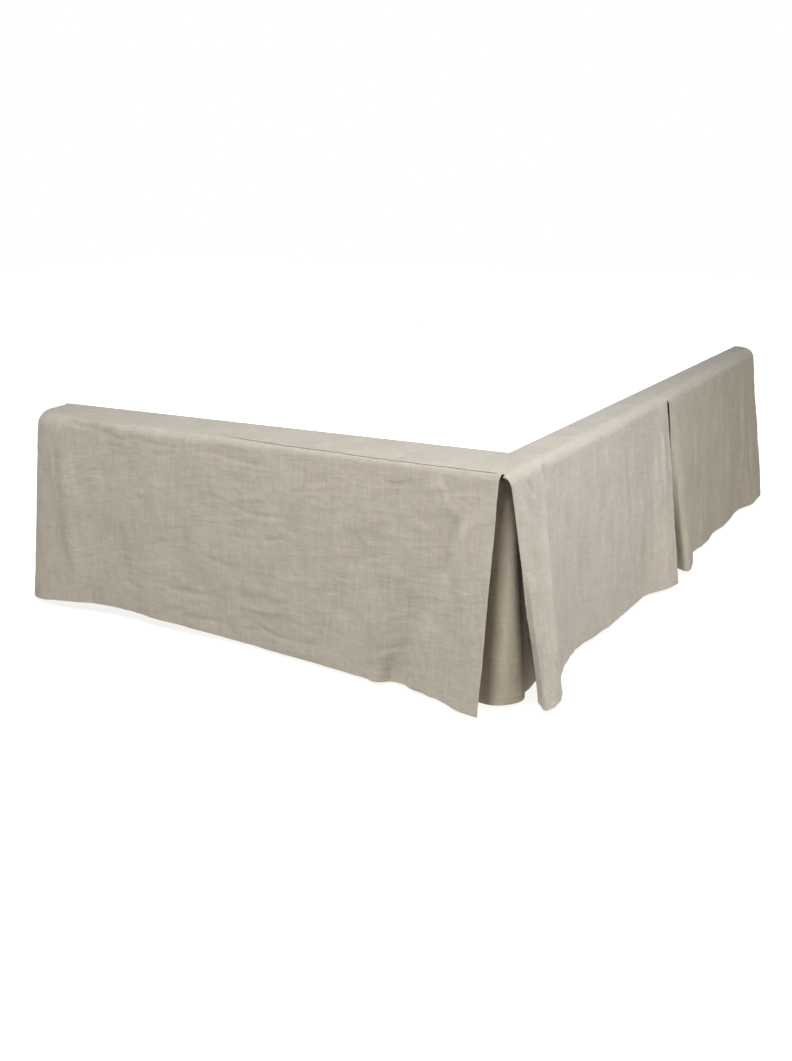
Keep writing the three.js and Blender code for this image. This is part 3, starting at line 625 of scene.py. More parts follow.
def closed_sheet(name, outer, inner, u, v, side, material):
    """A closed mesh from the grids of a cloth's two faces, with u and v across the cloth."""
    columns, rows = outer.shape[:2]
    points = np.concatenate([outer.reshape(-1, 3), inner.reshape(-1, 3)])
    number = np.arange(columns * rows).reshape(columns, rows)
    under = number + columns * rows

    def strip(*corners):
        return np.stack([corner.ravel() for corner in corners], -1)

    quads = np.concatenate([
        strip(number[:-1, :-1], number[:-1, 1:], number[1:, 1:], number[1:, :-1]),
        strip(under[:-1, :-1], under[1:, :-1], under[1:, 1:], under[:-1, 1:]),
        strip(number[:-1, 0], number[1:, 0], under[1:, 0], under[:-1, 0]),
        strip(number[:-1, -1], under[:-1, -1], under[1:, -1], number[1:, -1]),
        strip(number[0, 1:], number[0, :-1], under[0, :-1], under[0, 1:]),
        strip(number[-1, :-1], number[-1, 1:], under[-1, 1:], under[-1, :-1]),
    ])
    piece, quads = new_piece(name, points, quads, side, material)
    uv = np.stack([u, v], -1).reshape(-1, 2)
    corners = np.concatenate([uv, uv])[quads.ravel()] * MM
    layer = piece.data.uv_layers.new(name="cloth")
    layer.data.foreach_set("uv", corners.astype(np.float32).ravel())
    piece.data.polygons.foreach_set("use_smooth", np.ones(len(quads), bool))
    piece.data.update()
    return piece


def edge_steps(start, end, fine, step):
    """Places from start to end with the fine offsets repeated from both ends."""
    fine = np.array(fine, float)
    count = round((end - start - 2 * fine[-1]) / step) + 1
    middle = np.linspace(start + fine[-1], end - fine[-1], max(2, count))
    return np.concatenate([start + fine[:-1], middle, (end - fine[:-1])[::-1]])


def stitch_line(outer, columns, rows):
    """The two ends of each stitch on a cloth's outer face and the face's direction there,
    along a line given by fractional columns and rows."""
    i, j = np.floor(columns).astype(int), np.floor(rows).astype(int)
    i, j = np.clip(i, 0, outer.shape[0] - 2), np.clip(j, 0, outer.shape[1] - 2)
    u, v = (columns - i)[:, None], (rows - j)[:, None]
    line = (outer[i, j] * (1 - u) + outer[i + 1, j] * u) * (1 - v)
    line += (outer[i, j + 1] * (1 - u) + outer[i + 1, j + 1] * u) * v
    normals = grid_normals(outer)[i, j]
    size = np.concatenate([[0], np.cumsum(np.linalg.norm(np.diff(line, axis=0), axis=1))])
    starts = np.arange(STITCH_PITCH, size[-1] - 2 * STITCH_PITCH, STITCH_PITCH)

    def at(values, where):
        return np.stack([np.interp(where, size, values[:, k]) for k in range(3)], -1)

    return at(line, starts), at(line, starts + STITCH_LENGTH), at(normals, starts)


def sew_stitches(name, lines, side):
    """Thread stitches, each a slim closed lozenge that lies on the cloth."""
    start, end, normal = (np.concatenate(parts) for parts in zip(*lines))
    middle, across = (start + end) / 2, np.cross(normal, end - start)
    across *= THREAD_HALF_WIDTH / np.linalg.norm(across, axis=1, keepdims=True)
    up = normal / np.linalg.norm(normal, axis=1, keepdims=True)
    points = np.stack([
        start - 0.1 * up, end - 0.1 * up, middle + across, middle - across,
        middle + THREAD_HEIGHT * up, middle - 0.2 * up,
    ], 1)
    ring = np.array([
        [2, 4, 0], [4, 3, 0], [3, 5, 0], [5, 2, 0], [4, 2, 1], [3, 4, 1], [5, 3, 1], [2, 5, 1],
    ])
    faces = 6 * np.arange(len(points))[:, None, None] + ring
    piece, _ = new_piece(name, points.reshape(-1, 3), faces.reshape(-1, 3), side, sewing_thread())
    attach(piece, BODY)
    return piece


def sew_drop(name, surface, start, end, side, creases, lean, seed, step):
    """A hemmed drop of cloth on its surface, with its seam allowance, creases and hems."""
    s = settings()
    thickness, hem_height, side_hem = s.thickness / MM, s.hem_height / MM, s.side_hem / MM
    step *= s.fineness
    runs = edge_steps(start, end, FINE_SIDE, step)
    length = surface.length(runs)[:, None]
    seam = -seam_rise(surface.edge, runs)[:, None]
    top, bottom = FINE_SEAM[-1], FINE_HEM[0]
    fill = np.linspace(0, 1, round((np.mean(length) - top - bottom) / step))[1:-1]
    depth = np.concatenate([
        seam + np.array(FINE_SEAM),
        seam + top + (length - bottom - top - seam) * fill,
        length - np.array(FINE_HEM),
    ], 1)
    below, to_hem = depth - seam, length - depth
    to_side = np.minimum(runs - start, end - runs)[:, None]
    run = runs[:, None] + split_pull(runs, below, start, end, lean)
    run = run + side_sway(seed, runs, below, to_hem, to_side)

    # Creases and wrinkles, the pull of the stitched hems, the tuck under the lapped seam and
    # the allowance tucked in behind the margin
    calm = smoothstep((below - 4) / 60) * (0.35 + 0.65 * smoothstep(to_side / 30))
    lift = s.creases * folds(creases, run, depth) * smoothstep(below / 15)
    lift += crumple(seed, run, depth, lean, s.wrinkles) * calm
    at_hem = bell(to_hem - hem_height, 9)
    lift += HEM_PULL * at_hem * lattice_noise(seed + 9, run / 13, depth / 40)
    at_side = bell(to_side - side_hem, 7) * smoothstep(depth / 40)
    lift += SIDE_PULL * at_side * lattice_noise(seed + 10, run / 40, depth / 15)
    lift += lap_tuck(surface.edge, run, below)
    lift -= smoothstep(-below / 1.8) * (thickness + 0.35)

    # The doubled hems, with a shallow groove where they are stitched
    hem_line = bell(to_hem - hem_height + STITCH_INSET, 1.1)
    hem_line = hem_line * smoothstep((to_side - side_hem + 3) / 2)
    side_line = bell(to_side - side_hem + STITCH_INSET, 1.1) * smoothstep(to_hem / 20)
    groove = STITCH_GROOVE * np.maximum(hem_line, side_line) * smoothstep((below - 3) / 5)
    half_out, half_in = halves(
        thickness, doubling(to_hem, to_side) * smoothstep((below - 1) / 3))
    to_edge = np.minimum(np.minimum(to_hem, to_side), below + SEAM_ALLOWANCE)
    outer, inner = cloth_faces(
        surface.at(run, depth), lift, thickness, half_out - groove, half_in - 0.5 * groove, to_edge)
    piece = closed_sheet(name + "_cloth", outer, inner, run, depth, side, linen())

    # Stitches along the hem and down both sides
    columns, rows = (np.arange(count, dtype=float) for count in depth.shape)
    hem_row = np.array([
        np.interp(reach - hem_height + STITCH_INSET, down, rows)
        for reach, down in zip(length[:, 0], depth)
    ])
    inside = (runs > start + side_hem) & (runs < end - side_hem)
    lines = [stitch_line(outer, columns[inside], hem_row[inside])]
    for edge in (start + side_hem - STITCH_INSET, end - side_hem + STITCH_INSET):
        down = np.linspace(len(FINE_SEAM), np.interp(edge, runs, hem_row), 160)
        across = np.full(len(down), np.interp(edge, runs, columns))
        lines.append(stitch_line(outer, across, down))
    stitches = sew_stitches(name + "_stitches", lines, side)
    return finish_piece(piece, "linen", name), stitches


def sew_underlay(name, surface, end, side, creases, seed, step):
    """A hemmed underlay, flatter than the drops, from its top inside the base's edge."""
    thickness = settings().thickness / MM
    step *= settings().fineness
    runs = edge_steps(0, end, FINE_SIDE, step)
    length = surface.length(runs)[:, None]
    bottom = FINE_HEM[0]
    fill = np.linspace(0, 1, round((np.mean(length) - bottom) / step))[:-1]
    depth = np.concatenate([
        (length - bottom + UNDERLAY_REACH) * fill - UNDERLAY_REACH,
        length - np.array(FINE_HEM),
    ], 1)
    run = np.broadcast_to(runs[:, None], depth.shape)
    to_hem, to_side = length - depth, np.minimum(run, end - run)
    lift = folds(creases, run, depth) * (0.35 + 0.65 * smoothstep(depth / 200))
    lift += crumple(seed, run, depth, PLUMB, UNDERLAY_WRINKLES) * smoothstep(depth / 60)
    half_out, half_in = halves(thickness, doubling(to_hem, to_side))
    to_edge = np.minimum(np.minimum(to_hem, to_side), depth + UNDERLAY_REACH)
    outer, inner = cloth_faces(
        surface.at(run, depth), lift, thickness, half_out, half_in, to_edge)
    # The underlays wear a darker, browner copy of the linen: painted shade for the recess behind
    # the splits.
    piece = closed_sheet(name + "_cloth", outer, inner, run, depth, side, under_linen())
    return finish_piece(piece, "linen", name)


def sew_margin(name, surface, start, end, side, seed):
    """A flat margin from the deck, over the base's edge and to the seam."""
    thickness, step = settings().thickness / MM, MARGIN_STEP * settings().fineness
    runs = edge_steps(start, end, FINE_END, step * 1.3)
    run = runs[:, None]
    seam = -seam_rise(surface.edge, run)
    at_seam, deck = surface.at(run, seam)
    room = np.linalg.norm(at_seam - deck, axis=-1)
    near = np.array(FINE_MARGIN) * np.clip((room - 3) / 38, 0.06, 1)
    near = np.minimum(near, -SEAM_BUTT)
    near[:, :-1] -= 0.01 * np.arange(near.shape[1] - 1, 0, -1)
    rolled, deck = surface.at(np.broadcast_to(run, near.shape), seam + near)
    span = np.linalg.norm(rolled[:, :1] - deck[:, :1], axis=-1)
    fill = np.linspace(0, 1, max(4, round(np.max(span) / step)))[:-1]
    fill = np.concatenate([[0, 0.01], fill[1:]])
    flat = deck[:, :1] + (rolled[:, :1] - deck[:, :1]) * fill[:, None]
    depth = np.concatenate([near[:, :1] - span * (1 - fill), near], 1)
    run = np.broadcast_to(run, depth.shape)
    to_deck, to_end = depth - depth[:, :1], np.minimum(run - start, end - run)
    quiet = smoothstep(to_deck / 25) * smoothstep(-depth / 30) * smoothstep(to_end / 60)
    lift = np.abs(crumple(seed, run, depth, MARGIN_SLANT, MARGIN_WRINKLES)) * quiet
    lapped = lap(surface.edge, run) * smoothstep((depth + 11) / 7) * smoothstep(to_end / 30)
    lift += LAP_PUFF * lapped
    to_edge = np.minimum(to_deck, -depth)
    if end in (RIGHT_END, LEFT_END):
        to_edge = np.minimum(to_edge, end - run)
    outer, inner = cloth_faces(
        np.concatenate([flat, rolled], 1), lift, thickness, thickness / 2, thickness / 2, to_edge)
    coloured = surface.deck is not LEFT_DECK_EDGE
    piece = closed_sheet(
        name + "_cloth", outer, inner, run, depth + seam, side,
        linen() if coloured else deck_cotton())
    return finish_piece(piece, "linen" if coloured else "deck_cotton", name)


# ---------------------------------------------------------------- materials, in metres
LINEN_THREAD = 0.0013
COTTON_THREAD = 0.0007
BAND_PERIOD = 0.314  # a band texture repeats after this at a scale of 1


class Nodes:
    """Short ways to add and join a material's nodes."""

    def __init__(self, tree):
        self.tree = tree

    def feed(self, socket, value):
        """Gives a socket a number, a vector, a colour or another node's output."""
        if isinstance(value, bpy.types.NodeSocket):
            self.tree.links.new(value, socket)
        elif isinstance(value, tuple) and len(value) < len(socket.default_value):
            socket.default_value = (*value, 1)
        else:
            socket.default_value = value

    def add(self, kind, inputs=None, **values):
        node = self.tree.nodes.new(kind)
        for key, value in values.items():
            setattr(node, key, value)
        for key, value in (inputs or {}).items():
            self.feed(node.inputs[key], value)
        return node

    def surface(self, inputs):
        """Feeds the shader's inputs."""
        shader = self.tree.nodes["Principled BSDF"]
        for key, value in inputs.items():
            self.feed(shader.inputs[key], value)

    def place(self):
        """The place on the object, in metres."""
        return self.add("ShaderNodeTexCoord").outputs["Object"]

    def math(self, operation, a, b):
        return self.add("ShaderNodeMath", {0: a, 1: b}, operation=operation).outputs[0]

    def mixed(self, *parts):
        """The sum of outputs, each times its share."""
        terms = [self.math("MULTIPLY", value, share) for value, share in parts]
        total = terms[0]
        for term in terms[1:]:
            total = self.math("ADD", total, term)
        return total

    def mapped(self, vector, scale, rotation=(0, 0, 0)):
        inputs = {"Vector": vector, "Scale": scale, "Rotation": rotation}
        return self.add("ShaderNodeMapping", inputs).outputs[0]

    def noise(self, vector, scale, detail, roughness):
        """Noise at a scale, or stretched to a scale of its own each way."""
        if isinstance(scale, tuple):
            vector, scale = self.mapped(vector, scale), 1.0
        inputs = {"Vector": vector, "Scale": scale, "Detail": detail, "Roughness": roughness}
        return self.add("ShaderNodeTexNoise", inputs).outputs[0]

    def threads(self, vector, scale, direction):
        inputs = {"Vector": vector, "Scale": scale, "Distortion": 0.6, "Detail": 1.0}
        return self.add(
            "ShaderNodeTexWave", inputs, wave_type="BANDS", bands_direction=direction).outputs[1]

    def ramp(self, value, *stops):
        """Greys or colours from stop to stop along an output."""
        node = self.add("ShaderNodeValToRGB", {0: value})
        elements = node.color_ramp.elements
        while len(elements) < len(stops):
            elements.new(0.5)
        for element, (position, tone) in zip(elements, stops):
            element.position = position
            element.color = (*tone, 1) if isinstance(tone, tuple) else (tone, tone, tone, 1)
        return node.outputs[0]

    def blend(self, factor, a, b):
        return self.add("ShaderNodeMix", {0: factor, 6: a, 7: b}, data_type="RGBA").outputs[2]

    def bump(self, height, strength, distance, **inputs):
        inputs = {"Height": height, "Strength": strength, "Distance": distance, **inputs}
        return self.add("ShaderNodeBump", inputs).outputs[0]


def new_material(name):
    material = bpy.data.materials.new(name)
    material.use_nodes = True
    return material, Nodes(material.node_tree)


def shade(colour, factor):
    return tuple(min(1, factor * c) for c in colour)


def woven(name, dark, colour, light, thread, slubs, sheen):
    """A woven cloth: threads of uneven thickness both ways, slubs here and there, soft
    ripples and streaks. Scales are in patches to the metre, across and down the cloth."""
    material, n = new_material(name)
    uv = n.add("ShaderNodeUVMap", uv_map="cloth").outputs[0]
    count = BAND_PERIOD / thread
    weave = n.math("MULTIPLY", n.threads(uv, count, "X"), n.threads(uv, count, "Y"))
    warp, weft = (n.noise(uv, scale, 3, 0.7) for scale in ((620, 24, 1), (24, 620, 1)))
    streaks = n.mixed((warp, 0.5), (weft, 0.5))
    slub = n.math("MAXIMUM", *(
        n.ramp(n.noise(uv, scale, 1, 0.4), (0.62, 0), (0.74, 1))
        for scale in ((300, 22, 1), (22, 300, 1))
    ))
    slub = n.math("MULTIPLY", slub, slubs)
    tone = n.mixed(
        (streaks, 0.36),
        (n.noise(uv, (900, 900, 1), 2, 0.6), 0.26),
        (n.noise(uv, (9, 9, 1), 3, 0.6), 0.11),
        (n.noise(uv, (24, 120, 1), 4, 0.65), 0.13),
        (n.noise(uv, (110, 9, 1), 4, 0.65), 0.14),
    )
    tint = n.ramp(tone, (0.41, dark), (0.5, colour), (0.59, light))
    ripple = n.noise(n.mapped(uv, (1, 1, 1), (0, 0, -0.15)), (13, 88, 1), 2, 0.5)
    upright = n.noise(uv, (70, 9, 1), 2, 0.5)
    patch = n.ramp(n.noise(uv, (8, 11, 1), 1, 0.5), (0.38, 0.25), (0.62, 1))
    wrinkle = n.math("MULTIPLY", n.mixed((ripple, 0.7), (upright, 0.45)), patch)
    height = n.mixed((weave, 0.5), (streaks, 0.9), (slub, 0.5))
    n.surface({
        "Base Color": n.blend(n.math("MULTIPLY", slub, 0.35), tint, light),
        "Normal": n.bump(height, 0.55, 0.0006, Normal=n.bump(wrinkle, 1.0, 0.0026)),
        "Roughness": 0.95,
        "Specular IOR Level": 0.25,
        "Sheen Weight": sheen,
        "Sheen Roughness": 0.6,
    })
    return material


@cache
def linen():
    s = settings()
    tints = (tuple(tint) for tint in (s.linen_dark, s.linen, s.linen_light))
    return woven("linen", *tints, LINEN_THREAD, 1.0, 0.12)


@cache
def under_linen():
    """The underlays' linen, a shade darker and browner than the drops': painted shade for the dim
    recess they hang in.
    """
    s = settings()
    tints = (
        tuple(c * k for c, k in zip(tint, (0.97, 0.92, 0.85)))
        for tint in (s.linen_dark, s.linen, s.linen_light)
    )
    return woven("under_linen", *tints, LINEN_THREAD, 1.0, 0.12)


@cache
def deck_cotton():
    tint = tuple(settings().deck_colour)
    dark, light = shade(tint, 0.93), shade(tint, 1.04)
    return woven("deck_cotton", dark, tint, light, COTTON_THREAD, 0.2, 0.05)


@cache
def base_cloth():
    material, n = new_material("base_cloth")
    place, tint = n.place(), tuple(settings().base_colour)
    speckle = n.noise(place, 900, 3, 0.7)
    tone = n.mixed((speckle, 0.75), (n.noise(place, 6, 3, 0.5), 0.25))
    dark, light = shade(tint, 0.8), shade(tint, 1.15)
    n.surface({
        "Base Color": n.ramp(tone, (0.38, dark), (0.5, tint), (0.62, light)),
        "Normal": n.bump(speckle, 0.5, 0.0005),
        "Roughness": 0.92,
        "Sheen Weight": 0.1,
    })
    return material


@cache
def dust_cover():
    material, n = new_material("dust_cover")
    dots = n.noise(n.place(), 600, 2, 0.6)
    n.surface({
        "Base Color": n.ramp(dots, (0.35, 0.015), (0.65, 0.035)),
        "Normal": n.bump(dots, 0.4, 0.0004),
        "Roughness": 0.85,
    })
    return material


@cache
def leg_wood():
    material, n = new_material("leg_wood")
    place, tint = n.place(), tuple(settings().leg_colour)
    dark = shade(tint, 0.62)
    grain, pores = n.noise(place, (120, 120, 5), 5, 0.65), n.noise(place, (700, 700, 22), 2, 0.6)
    wood = n.ramp(grain, (0.3, dark), (0.52, tint), (0.7, shade(tint, 1.25)))
    n.surface({
        "Base Color": n.blend(n.math("MULTIPLY", pores, 0.25), wood, dark),
        "Roughness": n.math("ADD", n.math("MULTIPLY", pores, 0.2), 0.38),
        "Normal": n.bump(pores, 0.25, 0.0003),
    })
    return material


@cache
def glide_felt():
    material, n = new_material("glide_felt")
    fuzz = n.noise(n.place(), 1500, 3, 0.7)
    n.surface({
        "Base Color": n.ramp(fuzz, (0.3, (0.10, 0.085, 0.07)), (0.7, (0.2, 0.18, 0.155))),
        "Normal": n.bump(fuzz, 0.6, 0.0006),
        "Roughness": 0.95,
    })
    return material


@cache
def sewing_thread():
    material, n = new_material("thread")
    ply, tint = n.noise(n.place(), 2500, 2, 0.6), tuple(settings().thread_colour)
    n.surface({
        "Base Color": n.ramp(ply, (0.35, shade(tint, 0.8)), (0.65, tint)),
        "Roughness": 0.7,
    })
    return material


# ---------------------------------------------------------------- stage, in metres
FLOOR_HALF = 9.0
FLOOR_DROP = 0.0005
FLOOR_TONE = 0.9
FLOOR_WASH = 0.7
FLOOR_GLOW = 3.3
FLAT_SPREAD = math.radians(70)
FILL_COLOUR = (1.0, 0.5, 0.2)
FILL_STRENGTH = 0.025

# Soft round lamps: where they stand and face, how wide, their power and colour
LAMPS = {
    "side": ((1.85, -0.75, 0.8), (0.72, -0.35, 0.22), 0.9, 18.2, (0.94, 1.0, 1.11)),
    "front": ((0.66, -2.3, 2.9), (0.1, -0.9, 0.3), 0.8, 94, (1.0, 1.0, 1.0)),
    "low": ((0.5, -3.6, 1.2), (0.0, -1.0, 0.3), 1.0, 26, (0.84, 1.0, 1.12)),
    "above": ((0.3, -0.6, 3.6), (0.3, -0.6, 0.5), 2.0, 75, (0.88, 1.0, 1.15)),
    "far": ((1.9, 1.4, 0.9), (0.7, 0.8, 0.25), 0.6, 1.6, (1.0, 0.75, 0.35)),
    "side_head": ((1.85, -0.75, 0.8), (0.72, -0.35, 0.22), 0.9, 17.1, (0.94, 1.0, 0.98)),
    "rear": ((-0.5, 3.4, 1.3), (-0.1, 1.0, 0.3), 1.4, 52, (0.97, 1.0, 1.05)),
    "left": ((-3.4, 0.3, 1.3), (-0.7, 0.1, 0.3), 1.4, 90, (0.97, 1.0, 1.05)),
    "corner": ((0.55, -1.8, 0.5), (0.7, -1.0, 0.33), 0.1, 2.6, (0.65, 0.88, 1.0)),
}

# Pieces that the lamps behind and to the left leave alone
FACING = (
    "floor", "deck", "margin", "panel_foot", "panel_right", "underlay_corner_right",
    "underlay_middle_right",
)

# Camera: its place, its turns in degrees, its lens in millimetres and its upward shift
CAMERA_PLACE = (1.7501, -3.1783, 1.14)
CAMERA_HEADING = 30.99
CAMERA_TILT = 14.59
CAMERA_ROLL = -0.62
CAMERA_LENS = 41.27
CAMERA_SHIFT = -0.0515


def set_camera():
    data = bpy.data.cameras.new("camera")
    data.lens, data.shift_y, data.clip_end = CAMERA_LENS, CAMERA_SHIFT, 60
    camera = add_to_scene("camera", data)
    camera.matrix_world = (
        Matrix.Translation(CAMERA_PLACE)
        @ Matrix.Rotation(math.radians(CAMERA_HEADING), 4, "Z")
        @ Matrix.Rotation(math.radians(90 - CAMERA_TILT), 4, "X")
        @ Matrix.Rotation(math.radians(CAMERA_ROLL), 4, "Z")
    )
    bpy.context.scene.camera = camera


def soft_light(name, location, target, size, power, colour):
    data = bpy.data.lights.new(name, "AREA")
    data.shape, data.size, data.energy, data.color = "DISK", size, power, colour
    lamp = add_to_scene(name, data)
    lamp.location = location
    lamp.rotation_euler = (Vector(target) - lamp.location).to_track_quat("-Z", "Y").to_euler()
    lamp.visible_camera = False
    return lamp


def flat_light(name, power):
    """A wide soft light from straight above."""
    data = bpy.data.lights.new(name, "SUN")
    data.energy, data.angle = power, FLAT_SPREAD
    return add_to_scene(name, data)


def named(*starts):
    return [piece for piece in bpy.data.objects if piece.name.startswith(starts)]


def light_only(pieces, *lamps):
    """These lamps light the pieces and nothing else."""
    group = bpy.data.collections.new(lamps[0].name + "_lights")
    for piece in pieces:
        group.objects.link(piece)
    for lamp in lamps:
        lamp.light_linking.receiver_collection = group
    return group


def light_all_but(pieces, *lamps):
    """These lamps light all but the pieces."""
    for entry in light_only(pieces, *lamps).collection_objects:
        entry.light_linking.link_state = "EXCLUDE"


def studio_world(scene):
    """A white surround, and a softer warm fill that lights the object."""
    world = bpy.data.worlds.new("studio")
    world.use_nodes = True
    n = Nodes(world.node_tree)
    fill, output = (world.node_tree.nodes[name] for name in ("Background", "World Output"))
    n.feed(fill.inputs[0], FILL_COLOUR)
    n.feed(fill.inputs[1], FILL_STRENGTH)
    seen = n.add("ShaderNodeBackground", {0: (1, 1, 1)})
    by_camera = n.add("ShaderNodeLightPath").outputs["Is Camera Ray"]
    mix = n.add("ShaderNodeMixShader", {0: by_camera, 1: fill.outputs[0], 2: seen.outputs[0]})
    n.feed(output.inputs[0], mix.outputs[0])
    scene.world = world


# ---------------------------------------------------------------- modelling, in metres
BASE_CORNER = 0.066
BASE_TOP_EDGE = 0.03
BASE_BOTTOM_EDGE = 0.004
DUST_COVER_INSET = 0.02
LEG_TAPER = 0.84
LEG_EDGE = 0.0025
GLIDE_HEIGHT = 0.004
GLIDE_INSET = 0.003
SMOOTH_ANGLE = math.radians(35)
TOUCH = 1e-4


def deselect():
    if bpy.context.object and bpy.context.object.mode != "OBJECT":
        bpy.ops.object.mode_set(mode="OBJECT")
    bpy.ops.object.select_all(action="DESELECT")


def name_primitive(name):
    """Names the primitive just added and puts its place and size in its mesh."""
    piece = bpy.context.object
    piece.name = piece.data.name = name
    bpy.ops.object.transform_apply(location=True, rotation=True, scale=True)
    return piece


def select_parts(piece, mode, wanted):
    """In edit mode, selects the faces by middle and direction, or the edges by middle and
    way, that a test picks."""
    bpy.ops.object.mode_set(mode="EDIT")
    bpy.ops.mesh.select_mode(type=mode)
    bpy.ops.mesh.select_all(action="DESELECT")
    bpy.ops.object.mode_set(mode="OBJECT")
    mesh = piece.data
    if mode == "EDGE":
        for edge in mesh.edges:
            a, b = (mesh.vertices[i].co for i in edge.vertices)
            edge.select = wanted((a + b) / 2, b - a)
    else:
        for face in mesh.polygons:
            face.select = wanted(face.center, face.normal)
    bpy.ops.object.mode_set(mode="EDIT")


def finish_shape(piece, materials, choose):
    """Leaves edit mode, gives each face the material that a test picks, and smooths."""
    bpy.ops.object.mode_set(mode="OBJECT")
    for material in materials:
        piece.data.materials.append(material)
    for face in piece.data.polygons:
        face.material_index = int(choose(face.center, face.normal))
    bpy.ops.object.shade_smooth_by_angle(angle=SMOOTH_ANGLE)


# ---------------------------------------------------------------- add-on
class BedSkirtSettings(bpy.types.PropertyGroup):
    """Sizes and colours of the skirt and its base."""

    thickness: FloatProperty(
        name="Cloth", description="Thickness of a single layer of linen",
        default=0.0011, min=0.0004, max=0.002, subtype="DISTANCE")
    hem_height: FloatProperty(
        name="Hem", description="Height of the turned bottom hem",
        default=0.020, min=0.008, max=0.06, subtype="DISTANCE")
    side_hem: FloatProperty(
        name="Side hem", description="Width of the turned side hems",
        default=0.014, min=0.006, max=0.04, subtype="DISTANCE")
    creases: FloatProperty(
        name="Creases", description="How strongly the main creases stand, as a factor",
        default=2.7, min=0, max=5, subtype="FACTOR")
    wrinkles: FloatProperty(
        name="Wrinkles", description="Height of the linen's wrinkles, in millimetres",
        default=2.9, min=0, max=5)
    fineness: FloatProperty(
        name="Mesh spacing", description="Distance between the cloth's mesh lines, as a factor",
        default=1, min=0.6, max=3, subtype="FACTOR")
    linen: FloatVectorProperty(
        name="Linen", description="Colour of the linen",
        default=(0.317, 0.275, 0.216), min=0, max=1, subtype="COLOR")
    linen_dark: FloatVectorProperty(
        name="Linen shadow", description="Colour of its darker threads",
        default=(0.246, 0.211, 0.163), min=0, max=1, subtype="COLOR")
    linen_light: FloatVectorProperty(
        name="Linen light", description="Colour of its lighter threads",
        default=(0.384, 0.338, 0.271), min=0, max=1, subtype="COLOR")
    thread_colour: FloatVectorProperty(
        name="Thread", description="Colour of the sewing thread",
        default=(0.50, 0.45, 0.37), min=0, max=1, subtype="COLOR")
    deck_colour: FloatVectorProperty(
        name="Deck", description="Colour of the deck's cotton",
        default=(0.86, 0.85, 0.83), min=0, max=1, subtype="COLOR")
    base_colour: FloatVectorProperty(
        name="Base", description="Colour of the base's cover",
        default=(0.66, 0.64, 0.60), min=0, max=1, subtype="COLOR")
    leg_colour: FloatVectorProperty(
        name="Legs", description="Colour of the legs' wood",
        default=(0.50, 0.32, 0.17), min=0, max=1, subtype="COLOR")


class BEDSKIRT_OT_base(bpy.types.Operator):
    """Upholster the plain bed base"""

    bl_idname = "bed_skirt.base"
    bl_label = "Build Base"

    def execute(self, context):
        low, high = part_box("bed_base")
        size = high - low
        deselect()
        bpy.ops.mesh.primitive_cube_add(size=1, location=(high + low) / 2)
        bpy.ops.transform.resize(value=size)
        base = name_primitive("base_cover")
        select_parts(base, "EDGE", lambda at, way: abs(way.z) > 0.1)
        bpy.ops.mesh.bevel(offset=BASE_CORNER, segments=10, affect="EDGES")
        select_parts(base, "EDGE", lambda at, way: at.z > high.z - TOUCH)
        bpy.ops.mesh.bevel(offset=BASE_TOP_EDGE, segments=7, affect="EDGES")
        select_parts(base, "EDGE", lambda at, way: at.z < low.z + TOUCH)
        bpy.ops.mesh.bevel(offset=BASE_BOTTOM_EDGE, segments=3, affect="EDGES")
        select_parts(base, "FACE", lambda at, normal: normal.z < -0.9 and at.z < low.z + TOUCH)
        bpy.ops.mesh.inset(thickness=DUST_COVER_INSET, depth=0)

        def under(at, normal):
            reach = size / 2 - Vector((DUST_COVER_INSET, DUST_COVER_INSET, 0))
            inside = abs(at.x) < reach.x and abs(at.y) < reach.y
            return normal.z < -0.9 and inside and at.z < low.z + TOUCH

        finish_shape(base, (base_cloth(), dust_cover()), under)
        finish_piece(base, "base_cloth", "bed_base")
        return {"FINISHED"}


class BEDSKIRT_OT_legs(bpy.types.Operator):
    """Turn a leg and set its copies under the base"""

    bl_idname = "bed_skirt.legs"
    bl_label = "Turn Legs"

    def execute(self, context):
        nodes = ("leg_foot_left", "leg_foot_right", "leg_head_left", "leg_head_right", "leg_centre")
        low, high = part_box(nodes[0])
        middle = (low + high) / 2
        bottom = low.z + GLIDE_HEIGHT
        deselect()
        bpy.ops.mesh.primitive_cylinder_add(
            vertices=48, radius=(high.x - low.x) / 2, depth=high.z - bottom,
            location=(middle.x, middle.y, (high.z + bottom) / 2))
        leg = name_primitive(nodes[0] + "_turned")
        select_parts(leg, "FACE", lambda at, normal: normal.z < -0.9)
        bpy.ops.transform.resize(
            value=(LEG_TAPER, LEG_TAPER, 1), center_override=(middle.x, middle.y, bottom))
        select_parts(leg, "EDGE", lambda at, way: abs(way.z) < TOUCH)
        bpy.ops.mesh.bevel(offset=LEG_EDGE, segments=3, affect="EDGES")
        select_parts(leg, "FACE", lambda at, normal: normal.z < -0.99 and at.z < bottom + TOUCH)
        bpy.ops.mesh.inset(thickness=GLIDE_INSET)
        bpy.ops.mesh.extrude_region_move(TRANSFORM_OT_translate={"value": (0, 0, -GLIDE_HEIGHT)})
        finish_shape(leg, (leg_wood(), glide_felt()), lambda at, normal: at.z < bottom - TOUCH)
        for node in nodes[1:]:
            mesh = leg.data.copy()
            mesh.transform(Matrix.Translation(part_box(node)[0] - low))
            mesh.name = node + "_turned"
            finish_piece(add_to_scene(mesh.name, mesh), "leg_wood", node)
        finish_piece(leg, "leg_wood", nodes[0])
        return {"FINISHED"}


